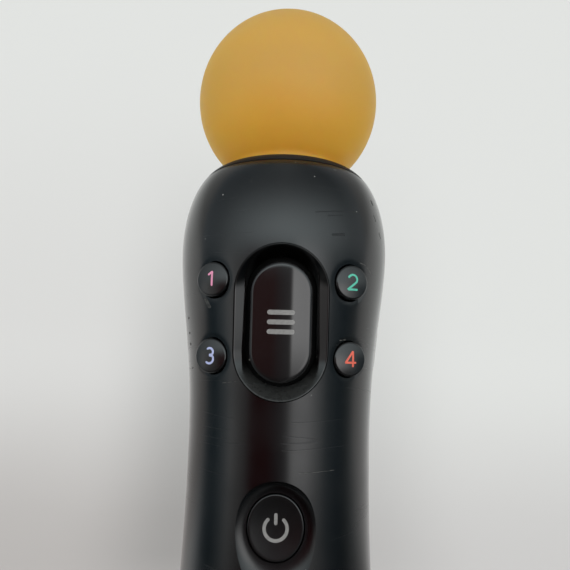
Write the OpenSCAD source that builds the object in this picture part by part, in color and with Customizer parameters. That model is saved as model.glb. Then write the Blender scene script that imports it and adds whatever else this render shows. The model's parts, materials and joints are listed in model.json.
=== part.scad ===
// Motion controller wand: a turned two-part grip with a light ball, push buttons and a finger trigger.
// +Z runs from the flat base to the ball, the buttons face -Y, and the origin is the middle of the base.

/* [Housing] */
// Diameter of the widest ring of the head
head_d = 46; // [44:0.5:50]
// Height of the widest ring of the head above the base
head_z = 142.5; // [138:0.5:150]
// Height of the rounded shoulder above the widest ring
shoulder_h = 18.1; // [16:0.1:20]
// Diameter of the grip at its waist
waist_d = 39.1; // [38:0.1:41]
// Height of the waist above the base
waist_z = 94; // [90:0.5:98]
// How late the grip flares out into the head
flare = 1.55; // [1.3:0.05:1.8]
// Diameter of the butt, low on the grip
butt_d = 41.2; // [40:0.1:43]
// Height of the widest ring of the butt
butt_z = 50; // [44:1:56]
// Diameter of the flat base
base_d = 26; // [25:0.5:30]
// Height over which the base rounds into the butt
base_round = 18; // [15:0.5:20]
// Wall of the two halves
wall = 2; // [1.8:0.1:2.4]
// Thickness of the base
base_wall = 2.4; // [2:0.1:3]
// Gap at the seam between the two halves
seam_gap = 0.1; // [0.05:0.05:0.2]

/* [Light ball] */
// Diameter of the ball
ball_d = 42; // [40:0.5:46]
// Wall of the ball
ball_wall = 1.6; // [1.2:0.1:2]
// Diameter of the ball's neck
neck_d = 26; // [24:0.5:27]
// Height of neck that shows between collar and ball
neck_show = 1.4; // [1:0.1:2]
// Crown diameter of the collar
crown_d = 29.6; // [29:0.1:31]
// How far the collar's crown rises above the line of the shoulder
crown_lift = 0.5; // [0.3:0.1:0.8]
// Angle up the shoulder at which the collar starts
collar_angle = 61.5; // [58:0.5:64]
// Width of the groove under the collar
groove = 0.3; // [0.2:0.1:0.6]
// Depth of the neck's seat below the collar's crown
seat_depth = 7.7; // [7:0.1:8.5]
// Wall of the clear seat under the ball
seat_wall = 1.6; // [1.2:0.1:2]
// Height of the seat's foot ring
foot_h = 4.2; // [3.5:0.1:5]
// Width of the lamp package
lamp_w = 5; // [4:0.5:6]
// Thickness of the circuit boards
board_t = 1.2; // [1:0.1:1.6]

/* [Large button] */
// Distance of the dish's middle below the widest ring of the head
dish_drop = 16.8; // [16:0.1:19]
// Width of the dish
dish_w = 18.3; // [17.5:0.1:19]
// Height of the dish
dish_h = 29.5; // [29:0.1:31]
// Depth of the dish's foot below the front
dish_depth = 2.7; // [2.5:0.1:2.9]
// Slope of the dish down to its foot, in degrees
dish_slope = 32; // [28:1:36]
// Width of the moat between the dish's foot and the large button
moat_w = 1.45; // [1.2:0.05:1.6]
// Depth of the moat below the dish's foot
moat_depth = 0.7; // [0.5:0.1:0.9]
// Lean of the dish from the vertical, in degrees
dish_lean = 5.7; // [4:0.1:7]
// Thickness of the dish under the moat
bezel_t = 0.6; // [0.5:0.1:0.9]
// Thickness of the dish's rim
bezel_rim = 0.4; // [0.3:0.1:0.6]
// Width of the large button
big_w = 11.3; // [11:0.1:11.6]
// Height of the large button
big_h = 22.4; // [22:0.1:23]
// How far the large button sits below the dish's middle
big_drop = 0.25; // [0:0.05:0.4]
// How far the large button's crown stands above the front
big_proud = 0.4; // [0.2:0.1:0.8]
// Crown radius across the large button
big_crown_x = 18; // [15:1:24]
// Crown radius along the large button
big_crown_z = 500; // [300:10:800]

/* [Small buttons] */
// Diameter of a small button
cap_d = 6.4; // [6:0.1:6.8]
// Distance of the small buttons from the middle line
cap_x = 13.3; // [13:0.1:13.8]
// Distance of the upper pair below the widest ring of the head
upper_drop = 8.8; // [8.2:0.1:9.2]
// Distance of the lower pair below the widest ring of the head
lower_drop = 23.5; // [23:0.1:25]
// Outward turn of the small buttons, in degrees
cap_turn = 20; // [18:1:22]
// How far the rim of a small button stands out
cap_proud = 0.9; // [0.7:0.1:1.2]
// Height of the dome on a small button
cap_dome = 0.35; // [0.25:0.05:0.5]
// Width of the shallow ring sunk round a small button
well_w = 0.9; // [0.6:0.1:1.1]
// Depth of a small button's stop below the surface
stop_depth = 3.8; // [3.6:0.1:4.2]

/* [Home button] */
// Distance of the home button below the widest ring of the head
home_drop = 54; // [52.5:0.1:55.5]
// Width of the home button
home_w = 10.4; // [10:0.1:11]
// Height of the home button
home_h = 11.8; // [11.4:0.1:12]
// Depth of the bowl round the home button
bowl_depth = 1.8; // [1.6:0.1:2]
// Width of the flat floor of that bowl
bowl_floor = 12.6; // [12.5:0.1:13]
// Width of the bowl's sloping wall
bowl_wall = 2.3; // [2:0.1:2.6]
// How much further the bowl reaches below the home button
bowl_drop = 2.4; // [2:0.1:3]
// Depth of the home button's middle below the front
home_sink = 1.7; // [1.5:0.1:1.8]
// Radius of the shallow hollow in the home button
home_hollow = 150; // [120:5:200]

/* [Side buttons] */
// Distance of the side buttons below the widest ring of the head
side_drop = 21; // [20:0.1:22]
// Length of a side button
side_l = 9.5; // [9:0.1:10]
// Width of a side button
side_w = 4; // [3.6:0.1:4.4]
// How far a side button stands out
side_proud = 0.15; // [0.1:0.05:0.4]

/* [Button action] */
// Travel of a button
travel = 1; // [0.8:0.1:1.1]
// Running clearance round a moving piece
run_gap = 0.3; // [0.2:0.05:0.4]
// Clearance between fixed pieces that fit together
fit_gap = 0.1; // [0.05:0.05:0.15]
// Thickness of a button's flange
flange_t = 1.1; // [1:0.1:1.3]
// Width of a button's flange outside its cap
flange_w = 1; // [0.9:0.1:1.2]
// Radius of a button's stem
stem_r = 2; // [1.6:0.1:2.2]
// Room left under a stem at full travel
stem_room = 0.6; // [0.5:0.1:0.9]

/* [Trigger] */
// Width of the trigger
trigger_w = 13.4; // [12:0.1:14]
// Distance of the trigger's pivot below the widest ring of the head
pivot_drop = 11.5; // [11:0.1:12.5]
// Depth of the pivot below the back surface
pivot_inset = 7.7; // [7.5:0.1:8]
// Diameter of the pivot pin
pin_d = 3; // [2.5:0.1:3.2]
// Radial running clearance on the pin
pin_gap = 0.05; // [0.03:0.01:0.08]
// Radius of the trigger's hub
hub_r = 3.4; // [3:0.1:3.6]
// Length of the trigger below its pivot
trigger_l = 25; // [24:0.5:26]
// How far the trigger's tip stands behind the pivot
tip_out = 12.6; // [12:0.1:13]

/* [Inside] */
// Distance of the main board's front face from the middle
board_y = 6; // [5.6:0.1:6.4]
// Width of the main board
board_w = 26; // [25:0.5:27]
// Thickness of the rubber keypad
mat_t = 0.8; // [0.6:0.1:1]
// Thickness of the inner frame
spine_t = 2; // [1.8:0.1:2.4]
// Diameter of the rechargeable cell
cell_d = 18.2; // [18:0.1:18.6]
// Length of the cell
cell_l = 50; // [48:0.5:52]
// Height of the cell's lower end
cell_z = 18; // [17.5:0.5:20]
// Diameter of the vibration motor
motor_d = 12; // [11:0.1:12.4]
// Length of the motor's can
motor_l = 15; // [13:0.5:16]
// Height of the base board above the base
base_board_z = 10.4; // [10:0.1:11]
// Width of the charging socket
usb_w = 7.7; // [7.5:0.1:8]
// Depth of the charging socket
usb_d = 3.9; // [3.7:0.1:4.1]
// Width of the extension socket
ext_w = 12; // [11:0.1:13]
// Depth of the extension socket
ext_d = 4.2; // [4:0.1:4.6]
// Diameter of a case screw's shank
screw_d = 2.2; // [2:0.1:2.4]
// Length of a case screw
screw_l = 14; // [13:0.5:16]

/* [Hidden] */
$fn = 64;

satin_black = [0.09, 0.09, 0.1];
gloss_black = [0.04, 0.04, 0.045];
board_green = [0.1, 0.32, 0.18];
steel = [0.72, 0.73, 0.75];
far = 120;
bury = 1;

// Housing outline
head_r = head_d / 2;
crown_r = crown_d / 2;
waist_r = waist_d / 2;
butt_r = butt_d / 2;
base_r = base_d / 2;
crown_z = head_z + shoulder_h + crown_lift;
collar_z = head_z + shoulder_h * sin(collar_angle);
collar_r = crown_r + (head_r - crown_r) * cos(collar_angle);
function ease(t) = t * t * (3 - 2 * t);
function base_point(a) = [base_r + (butt_r - base_r) * sin(a), base_round * (1 - cos(a))];
function shoulder_point(a) = [crown_r + (head_r - crown_r) * cos(a), head_z + shoulder_h * sin(a)];
function grip_r(z) = z < butt_z ? butt_r
    : z < waist_z ? waist_r + (butt_r - waist_r) * ease((waist_z - z) / (waist_z - butt_z))
    : waist_r + (head_r - waist_r) * ease(pow((z - waist_z) / (head_z - waist_z), flare));
function low_r(z) = base_point(acos(1 - z / base_round))[0];
function body_r(z) = z < base_round ? low_r(z) : grip_r(z);
function inner_r(z) = body_r(z) - wall;
function shoulder_r(z) = shoulder_point(asin((z - head_z) / shoulder_h))[0];
grip_steps = 8;
flare_steps = 14;
outline = concat(
    [for (a = [0:15:90]) base_point(a)],
    [for (i = [0:grip_steps]) let (z = butt_z + (waist_z - butt_z) * i / grip_steps) [grip_r(z), z]],
    [for (i = [1:flare_steps]) let (z = waist_z + (head_z - waist_z) * i / flare_steps) [grip_r(z), z]],
    [for (a = [10:10:60]) shoulder_point(a)]
);
collar_outline = [for (i = [0:4]) shoulder_point(collar_angle + (90 - collar_angle) * i / 4)
    + [0, crown_lift * i / 4]];

// Light ball and its seat
ball_r = ball_d / 2;
neck_r = neck_d / 2;
ball_z = crown_z + neck_show + sqrt(pow(ball_r, 2) - pow(neck_r, 2));
seat_z = crown_z - seat_depth;
seat_r = neck_r - ball_wall - fit_gap;
spigot_r = collar_r - wall - run_gap;
lamp_z = seat_z - foot_h - board_t;
deck_z = lamp_z - spine_t;
deck_r = shoulder_r(deck_z + spine_t) - wall - run_gap;
lamp_board_r = spigot_r - fit_gap;
lamp_h = 1.6;

// Large button and dish
dish_z = head_z - dish_drop;
dish_y = body_r(dish_z);
mat_y = board_y + mat_t;
ledge_t = 1.4;
bezel_back = dish_depth + moat_depth + bezel_t;
big_stop = bezel_back + fit_gap;
boss_wall = 1.6;
function stem_depth(y, turn) =
    (y - mat_y - stem_room - travel * cos(turn) - stem_r * sin(turn)) / cos(turn);

// Small buttons
cap_r = cap_d / 2;
upper_z = head_z - upper_drop;
lower_z = head_z - lower_drop;
function cap_y(z) = sqrt(pow(body_r(z), 2) - pow(cap_x, 2));
function dome_radius(r, h) = (r * r + h * h) / (2 * h);
CAPS = [[-1, upper_z], [1, upper_z], [-1, lower_z], [1, lower_z]];

// Home button
home_z = head_z - home_drop;
home_y = body_r(home_z);
bowl_y = home_y - bowl_depth;
home_boss_t = 2;
home_boss_d = bowl_floor + 2 * bowl_wall + boss_wall;
home_stop = bowl_depth + home_boss_t;

// Side buttons
side_z = head_z - side_drop;
side_low = side_z - side_l / 2 - flange_w;
side_seat = sqrt(pow(inner_r(side_low), 2) - pow(side_w / 2 + flange_w, 2)) - run_gap;
side_switch_t = 2;
side_switch_x = side_seat - flange_t - travel - stem_room;

// Trigger
pivot_z = head_z - pivot_drop;
slot_w = trigger_w + 2 * run_gap;
pin_r = pin_d / 2;
ear_t = 2.4;
ear_r = 2.8;
pin_l = slot_w + 2 * ear_t;
ear_x = slot_w / 2;
tip_z = pivot_z - trigger_l;
slot_low = tip_z - 3;
pivot_y = body_r(pivot_z) - pivot_inset;
brow_r = pivot_inset;
brow_high = 30;
brow_low = -15;
slot_high = pivot_z + brow_r * sin(brow_high) + run_gap;
function bezier(p, t) = pow(1 - t, 3) * p[0] + 3 * t * pow(1 - t, 2) * p[1] + 3 * t * t * (1 - t) * p[2]
    + pow(t, 3) * p[3];
curve_steps = 10;
function curve(p) = [for (i = [0:curve_steps]) bezier(p, i / curve_steps)];
trigger_t = 2.8;
function brow(a) = brow_r * [cos(a), sin(a)];
finger_side = [brow(brow_low), brow(brow_low) + [1.6, -trigger_l * 0.3],
    [brow_r * 0.9, -trigger_l * 0.66], [tip_out, -trigger_l + trigger_t / 2]];
inner_side = [[tip_out - trigger_t, -trigger_l + trigger_t / 2], [brow_r * 0.5, -trigger_l * 0.8],
    [brow_r * 0.6, -trigger_l * 0.35], [0, -hub_r]];
leaf_t = 0.4;
leaf_w = 5;

// Inner frame and what it carries
spine_front = board_y - board_t;
spine_back = spine_front - spine_t;
board_low = home_z - home_h / 2 - 3.3;
board_high = upper_z + cap_r + 1.5;
cell_r = cell_d / 2;
cell_y = cell_r - spine_back + run_gap;
cell_top = cell_z + cell_l;
rail_t = 1.5;
motor_r = motor_d / 2;
motor_y = motor_r - spine_back + run_gap;
weight_h = 6;
weight_gap = 1.2;
motor_z = cell_top + spine_t + 2 * weight_gap + weight_h;
shaft_r = 1;
weight_r = motor_r - 0.5;
frame_low = cell_z - spine_t;
screw_r = screw_d / 2;
screw_head_r = 2;
screw_head_h = 1.6;
boss_r = screw_head_r + 0.9;
screw_sink = screw_l * 0.4;
lower_screw_z = 36;
upper_screw_z = head_z - 0.5;
screw_inset = 1;
function screw_x(z) = inner_r(z) - boss_r - screw_inset;
SCREWS = [for (z = [lower_screw_z, upper_screw_z], s = [-1, 1]) [s * screw_x(z), z]];

// Base
base_board_r = inner_r(base_board_z) - 1.2;
usb_y = -5.4;
ext_y = 5;
socket_wall = 0.4;
socket_low = 0.8;
post_r = 1.8;
post_x = 10.5;
post_y = 6.5;
lens_r = 1.2;
lens_z = 34;
reset_z = base_board_z + board_t + 2.4;
reset_r = 0.8;
reset_hole_r = 1;
reset_travel = 0.5;
reset_body = [6, 4, 4.2];
reset_wall_y = inner_r(reset_z);
reset_y = reset_wall_y - 3.2;
strap_w = 6.4;
strap_y = 12.4;
strap_r = 1;
strap_z = 3;
strap_h = 6.4;
strap_room = 2;
strap_front = strap_y - strap_r - strap_room;

// Shared shapes
module stadium(w, h) {
    for (s = [-1, 1]) translate([0, s * (h - w) / 2]) circle(d = w);
    square([w, h - w], center = true);
}
module outer() {
    rotate_extrude() polygon(concat([[0, 0]], outline, [[collar_r, collar_z - groove / 2],
        [0, collar_z - groove / 2]]));
}
module cavity() {
    inner = [for (p = outline) if (p[1] > base_wall) [p[0] - wall, p[1]]];
    rotate_extrude() polygon(concat([[0, base_wall], [body_r(base_wall) - wall, base_wall]], inner,
        [[collar_r - wall, collar_z], [0, collar_z]]));
}
module half(side) {
    translate([0, side * (far + seam_gap) / 2, head_z / 2]) cube([far, far, 3 * head_z], center = true);
}
module at_dish() {
    translate([0, -dish_y, dish_z]) rotate([90 + dish_lean, 0, 0]) children();
}
module at_big() {
    at_dish() translate([0, -big_drop, 0]) children();
}
module at_cap(side, z) {
    translate([side * cap_x, -cap_y(z), z]) rotate([0, 0, side * cap_turn]) rotate([90, 0, 0]) children();
}
module at_home() {
    translate([0, -home_y, home_z]) rotate([90, 0, 0]) children();
}
module at_side(side) {
    translate([0, 0, side_z]) rotate([0, side * 90, 0]) rotate(90) children();
}
module slab(low, high) {
    translate([0, 0, low]) linear_extrude(high - low) children();
}
module block(x, y, z) {
    translate([x[0], y[0], z[0]]) cube([x[1] - x[0], y[1] - y[0], z[1] - z[0]]);
}
module bowl() {
    floor_r = bowl_floor / 2;
    slope = [for (a = [0:15:60]) [floor_r + bowl_wall * sin(a) / sin(60), 2 * bowl_depth * (1 - cos(a))]];
    edge = concat(slope, [[floor_r + 1.4 * bowl_wall, 2 * bowl_depth]]);
    last = len(edge) - 1;
    translate([0, 0, -bowl_depth]) {
        for (y = [-bowl_drop, 0]) translate([0, y, 0])
            rotate_extrude() polygon(concat([[0, 0]], edge, [[0, 2 * bowl_depth]]));
        rotate([90, 0, 0]) linear_extrude(bowl_drop)
            polygon(concat(edge, [for (i = [last:-1:0]) [-edge[i][0], edge[i][1]]]));
    }
}

// Front half of the housing
module front_bosses() {
    at_dish() slab(-bezel_back - fit_gap - ledge_t, bury)
        stadium(dish_w + 2 * boss_wall, dish_h + 2 * boss_wall);
    at_home() translate([0, -bowl_drop / 2, 0]) slab(-home_stop, bury)
        stadium(home_boss_d, home_boss_d + bowl_drop);
    for (c = CAPS) at_cap(c[0], c[1])
        slab(-stop_depth, cap_r) circle(r = cap_r + flange_w + run_gap + boss_wall / 2);
    for (s = SCREWS) translate([s[0], 0, s[1]]) rotate([90, 0, 0]) cylinder(r = boss_r, h = far);
    for (x = [-1, 1]) translate([x * post_x, -post_y, 0]) cylinder(r = post_r, h = base_board_z);
}
module front_cuts() {
    at_dish() slab(-bezel_back - fit_gap, far) stadium(dish_w + 2 * fit_gap, dish_h + 2 * fit_gap);
    at_big() slab(-far / 8, 0)
        stadium(big_w + 2 * (flange_w + run_gap), big_h + 2 * (flange_w + run_gap));
    at_home() {
        bowl();
        slab(-far / 8, 0) stadium(home_w + 2 * run_gap, home_h + 2 * run_gap);
    }
    for (c = CAPS) at_cap(c[0], c[1]) {
        slab(-stop_depth - bury, cap_r) circle(r = cap_r + run_gap);
        slab(-fit_gap, cap_r) circle(r = cap_r + run_gap + well_w);
        slab(-far / 8, -stop_depth) circle(r = cap_r + flange_w + run_gap);
    }
    side_cuts();
    translate([0, usb_y, 0])
        cube([usb_w + 2 * fit_gap, usb_d + 2 * fit_gap, 3 * base_wall], center = true);
    translate([0, 0, lens_z]) rotate([90, 0, 0]) cylinder(r = lens_r + fit_gap, h = far);
    for (s = SCREWS) translate([s[0], 0, s[1]]) rotate([90, 0, 0])
        cylinder(r = screw_r, h = screw_l - screw_sink);
}
module side_cuts() {
    for (s = [-1, 1]) at_side(s)
        slab(side_seat, far) stadium(side_w + 2 * run_gap, side_l + 2 * run_gap);
}
module front_shell() {
    color(satin_black) difference() {
        intersection() {
            outer();
            half(-1);
        }
        difference() {
            cavity();
            front_bosses();
        }
        front_cuts();
    }
}

// Rear half of the housing
module rear_bosses() {
    for (s = SCREWS) translate([s[0], 0, s[1]]) rotate([-90, 0, 0]) cylinder(r = boss_r, h = far);
    for (x = [-1, 1]) translate([x * post_x, post_y, 0]) cylinder(r = post_r, h = base_board_z);
    block([-strap_w / 2 - wall, strap_w / 2 + wall], [strap_front - wall / 2, far], [0, strap_h + wall]);
}
module rear_cuts() {
    block([-slot_w / 2, slot_w / 2], [pivot_y, far], [slot_low, slot_high]);
    side_cuts();
    translate([0, ext_y, 0])
        cube([ext_w + 2 * fit_gap, ext_d + 2 * fit_gap, 3 * base_wall], center = true);
    translate([0, 0, reset_z]) rotate([-90, 0, 0]) cylinder(r = reset_hole_r, h = far);
    block([-strap_w / 2, strap_w / 2], [strap_front, far], [-bury, strap_h]);
    translate([-far / 2, strap_y, strap_z]) rotate([0, 90, 0]) block_bore();
    for (s = SCREWS) translate([s[0], 0, s[1]]) rotate([-90, 0, 0]) {
        cylinder(r = screw_r + fit_gap, h = far);
        translate([0, 0, screw_sink]) cylinder(r = screw_head_r + fit_gap, h = far);
    }
}
module block_bore() {
    translate([0, 0, far / 2 - strap_w / 2 - wall / 2]) cylinder(r = strap_r + pin_gap, h = strap_w + wall);
}
module rear_shell() {
    color(satin_black) difference() {
        intersection() {
            outer();
            half(1);
        }
        difference() {
            cavity();
            rear_bosses();
        }
        rear_cuts();
    }
}

// Collar, ball and lamp
module collar_ring() {
    hole_r = neck_r + fit_gap;
    color(satin_black) rotate_extrude() polygon(concat(
        [[hole_r, seat_z + fit_gap], [spigot_r, seat_z + fit_gap], [spigot_r, collar_z + groove / 2],
            [collar_r - groove / 2, collar_z + groove / 2]],
        [for (i = [1:4]) collar_outline[i]],
        [[hole_r, crown_z - 0.4]]));
}
module light_sphere() {
    inner_neck = neck_r - ball_wall;
    color([0.82, 0.6, 0.22]) difference() {
        union() {
            translate([0, 0, ball_z]) sphere(r = ball_r);
            translate([0, 0, seat_z]) cylinder(r = neck_r, h = ball_z - seat_z);
        }
        translate([0, 0, ball_z]) sphere(r = ball_r - ball_wall);
        translate([0, 0, seat_z - bury]) cylinder(r = inner_neck, h = ball_z - seat_z + bury);
    }
}
module sphere_seat() {
    foot_z = seat_z - foot_h;
    color([0.9, 0.92, 0.95]) rotate_extrude() polygon([
        [seat_r - seat_wall, foot_z], [spigot_r, foot_z], [spigot_r, seat_z], [seat_r, seat_z],
        [seat_r, crown_z], [seat_r - seat_wall, crown_z]]);
}
module led_board() {
    color(board_green) translate([0, 0, lamp_z]) cylinder(r = lamp_board_r, h = board_t);
}
module led_package() {
    color("white") translate([0, 0, lamp_z + board_t]) difference() {
        translate([0, 0, lamp_h / 2]) cube([lamp_w, lamp_w, lamp_h], center = true);
        translate([0, 0, lamp_h / 2]) cylinder(r1 = lamp_w * 0.3, r2 = lamp_w * 0.4, h = lamp_h);
    }
}

// Large button and its dish
module dish_hollow() {
    half = (dish_h - dish_w) / 2;
    foot_r = big_w / 2 + moat_w;
    rim_r = dish_w / 2 - bezel_rim;
    rise = (rim_r - foot_r) * tan(dish_slope);
    translate([0, 0, -dish_depth]) {
        for (y = [-half, half]) translate([0, y, 0]) cylinder(r1 = foot_r, r2 = rim_r, h = rise);
        translate([0, half, 0]) rotate([90, 0, 0]) linear_extrude(2 * half)
            polygon([[-foot_r, 0], [foot_r, 0], [rim_r, rise], [-rim_r, rise]]);
        slab(-moat_depth, rise) stadium(2 * foot_r, 2 * (foot_r + half));
        slab(rise, far / 4) stadium(2 * rim_r, 2 * (rim_r + half));
    }
}
module dish_bezel() {
    color(gloss_black) difference() {
        intersection() {
            outer();
            at_dish() difference() {
                slab(-bezel_back, far / 8) stadium(dish_w, dish_h);
                dish_hollow();
            }
        }
        at_big() slab(-far / 8, 0) stadium(big_w + 2 * run_gap, big_h + 2 * run_gap);
    }
}
module big_button() {
    flange = 2 * flange_w;
    color(gloss_black) at_big() {
        intersection() {
            slab(-big_stop - flange_t, big_proud + bury) stadium(big_w, big_h);
            translate([0, 0, big_proud - big_crown_x]) rotate([90, 0, 0])
                cylinder(r = big_crown_x, h = 2 * big_h, center = true, $fn = 128);
            translate([0, 0, big_proud - big_crown_z]) rotate([0, 90, 0])
                cylinder(r = big_crown_z, h = 2 * big_w, center = true, $fn = 128);
        }
        slab(-big_stop - flange_t, -big_stop) stadium(big_w + flange, big_h + flange);
        slab(-stem_depth(dish_y, dish_lean), -big_stop) circle(r = stem_r);
    }
}

// Small buttons
module cap_button(side, z) {
    stop = stop_depth + fit_gap;
    ball = dome_radius(cap_r, cap_dome);
    color(satin_black) at_cap(side, z) {
        intersection() {
            slab(-stop - flange_t, cap_proud + cap_dome) circle(r = cap_r);
            translate([0, 0, cap_proud + cap_dome - ball]) sphere(r = ball, $fn = 128);
        }
        slab(-stop - flange_t, -stop) circle(r = cap_r + flange_w);
        slab(-stem_depth(cap_y(z), cap_turn), -stop) circle(r = stem_r);
    }
}
module upper_left_button() { cap_button(-1, upper_z); }
module upper_right_button() { cap_button(1, upper_z); }
module lower_left_button() { cap_button(-1, lower_z); }
module lower_right_button() { cap_button(1, lower_z); }

// Home button
module home_button() {
    stop = home_stop + fit_gap;
    color(satin_black) at_home() {
        difference() {
            slab(-stop - flange_t, 0) stadium(home_w, home_h);
            translate([0, 0, home_hollow - home_sink]) sphere(r = home_hollow, $fn = 128);
        }
        slab(-stop - flange_t, -stop) stadium(home_w + 2 * flange_w, home_h + 2 * flange_w);
        slab(-stem_depth(home_y, 0), -stop) circle(r = stem_r);
    }
}

// Side buttons and their switches
module side_crown() {
    low = body_r(side_z - side_l / 2);
    high = body_r(side_z + side_l / 2);
    middle = (low + high) / 2 + side_proud;
    translate([0, 0, side_z - side_l])
        cylinder(r1 = middle - high + low, r2 = middle + high - low, h = 2 * side_l, $fn = 128);
}
module side_button(side) {
    color(satin_black) {
        intersection() {
            at_side(side) slab(side_seat - flange_t, far / 4) stadium(side_w, side_l);
            side_crown();
        }
        at_side(side) slab(side_seat - flange_t, side_seat)
            stadium(side_w + 2 * flange_w, side_l + 2 * flange_w);
    }
}
module left_side_button() { side_button(-1); }
module right_side_button() { side_button(1); }
module side_switch(side) {
    color("dimgray") at_side(side) {
        slab(side_switch_x - side_switch_t, side_switch_x - side_switch_t / 4)
            square([side_w, side_l * 0.6], center = true);
        slab(side_switch_x - side_switch_t / 2, side_switch_x) circle(r = side_w * 0.3);
    }
}
module left_side_switch() { side_switch(-1); }
module right_side_switch() { side_switch(1); }

// Trigger
module at_pivot(w) {
    translate([-w / 2, pivot_y, pivot_z]) rotate([90, 0, 90]) linear_extrude(w) children();
}
module trigger() {
    tip_r = trigger_t / 2;
    tip = [tip_out - tip_r, -trigger_l + tip_r];
    color(satin_black) at_pivot(trigger_w) difference() {
        polygon(concat(
            [for (a = [brow_high:-5:brow_low + 5]) brow(a)],
            curve(finger_side),
            [for (a = [-20:-20:-160]) tip + tip_r * [cos(a), sin(a)]],
            curve(inner_side),
            [for (a = [-110:-20:-270]) hub_r * [cos(a), sin(a)]]));
        circle(r = pin_r + pin_gap);
    }
}
module trigger_pin() {
    color(steel) at_pivot(pin_l) circle(r = pin_r);
}
module trigger_spring() {
    start = [-pivot_y - spine_back + leaf_t / 2, -trigger_l * 0.9];
    path = curve([start, start + [0, 9], [-6, -trigger_l * 0.7], [1.2, -trigger_l * 0.5]]);
    side = [leaf_t / 2, 0];
    color(steel) at_pivot(leaf_w) polygon(concat(
        [for (p = path) p + side],
        [for (i = [curve_steps:-1:0]) path[i] - side + [0, leaf_t * i / curve_steps]]));
}
module trigger_sensor() {
    color("dimgray") block([-4, 4], [-spine_back, -spine_back + 4.5], [pivot_z - 10, pivot_z - 3]);
}

// Inner frame
module chassis() {
    rail_x = cell_r + run_gap;
    motor_x = motor_r + run_gap;
    spine_y = -spine_back - bury;
    color([0.2, 0.2, 0.22]) difference() {
        union() {
            block([-board_w / 2, board_w / 2], [-spine_front, -spine_back], [board_low, board_high]);
            block([-rail_x - rail_t, rail_x + rail_t], [-spine_front, -spine_back], [frame_low, deck_z]);
            translate([0, 0, deck_z]) cylinder(r = deck_r, h = spine_t);
            for (s = [-1, 1]) mirror([s < 0 ? 1 : 0, 0, 0]) {
                block([rail_x, rail_x + rail_t], [spine_y, cell_y], [frame_low, cell_top + spine_t]);
                block([motor_x, motor_x + rail_t], [spine_y, motor_y], [motor_z + 2, motor_z + motor_l - 2]);
                block([ear_x, ear_x + ear_t], [spine_y, pivot_y], [pivot_z - ear_r, pivot_z + ear_r]);
                translate([ear_x, pivot_y, pivot_z]) rotate([0, 90, 0]) cylinder(r = ear_r, h = ear_t);
                block([side_switch_x - side_switch_t - rail_t, side_switch_x - side_switch_t],
                    [-spine_front, side_w / 2], [side_z - side_l * 0.4, side_z + side_l * 0.4]);
            }
            block([-rail_x, rail_x], [spine_y, cell_y], [frame_low, cell_z - fit_gap]);
            block([-rail_x, rail_x], [spine_y, cell_y], [cell_top + fit_gap, cell_top + spine_t]);
        }
        at_pivot(2 * pin_l) circle(r = pin_r);
    }
}

// Electronics
module main_board() {
    color(board_green)
        block([-board_w / 2, board_w / 2], [-board_y, -spine_front], [board_low, board_high]);
}
module pill(x, z) {
    translate([x, -mat_y, z]) rotate([90, 0, 0]) cylinder(r = stem_r, h = stem_room / 3);
}
module keypad_mat() {
    reach = stem_depth(cap_y(upper_z), cap_turn) * sin(cap_turn);
    color("gray") {
        block([-board_w / 2 + 1, board_w / 2 - 1], [-mat_y, -board_y],
            [lower_z - cap_r - 3, board_high - 1]);
        pill(0, dish_z - big_drop + stem_depth(dish_y, dish_lean) * sin(dish_lean));
        for (c = CAPS) pill(c[0] * (cap_x - reach), c[1]);
    }
}
module home_pad() {
    color("gray") {
        block([-home_w / 2, home_w / 2], [-mat_y, -board_y], [home_z - home_h / 2, home_z + home_h / 2]);
        pill(0, home_z);
    }
}
chip_z = home_z + home_h / 2 + 2;
module processor_chip() {
    color("black") block([-10, -1], [-board_y - 1.1, -board_y], [chip_z, chip_z + 9]);
}
module radio_shield() {
    color(steel) block([1, 11], [-board_y - 1.8, -board_y], [chip_z, chip_z + 11]);
}
module motion_sensor_board() {
    color(board_green)
        block([-6, 6], [-spine_back, -spine_back + board_t], [pivot_z + ear_r + 1, deck_z - 1]);
}
module battery_cell() {
    color([0.25, 0.35, 0.6]) translate([0, cell_y, cell_z]) {
        cylinder(r = cell_r, h = cell_l - 1.5);
        cylinder(r = cell_r * 0.4, h = cell_l);
    }
}
module battery_plug() {
    color("ivory") block([-13, -7], [-3, 3], [base_board_z + board_t, base_board_z + board_t + 3.5]);
}
module motor_can() {
    color(steel) translate([0, motor_y, motor_z]) difference() {
        cylinder(r = motor_r, h = motor_l);
        translate([0, 0, -bury]) cylinder(r = shaft_r + pin_gap, h = motor_l / 2);
    }
}
module motor_weight() {
    color("goldenrod") translate([0, motor_y, motor_z - weight_gap - weight_h]) {
        difference() {
            cylinder(r = weight_r, h = weight_h);
            translate([-motor_d, shaft_r + 1, -bury]) cube([2 * motor_d, motor_d, weight_h + 2 * bury]);
        }
        cylinder(r = shaft_r, h = weight_h + weight_gap + motor_l / 2 - 2 * bury);
    }
}

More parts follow.
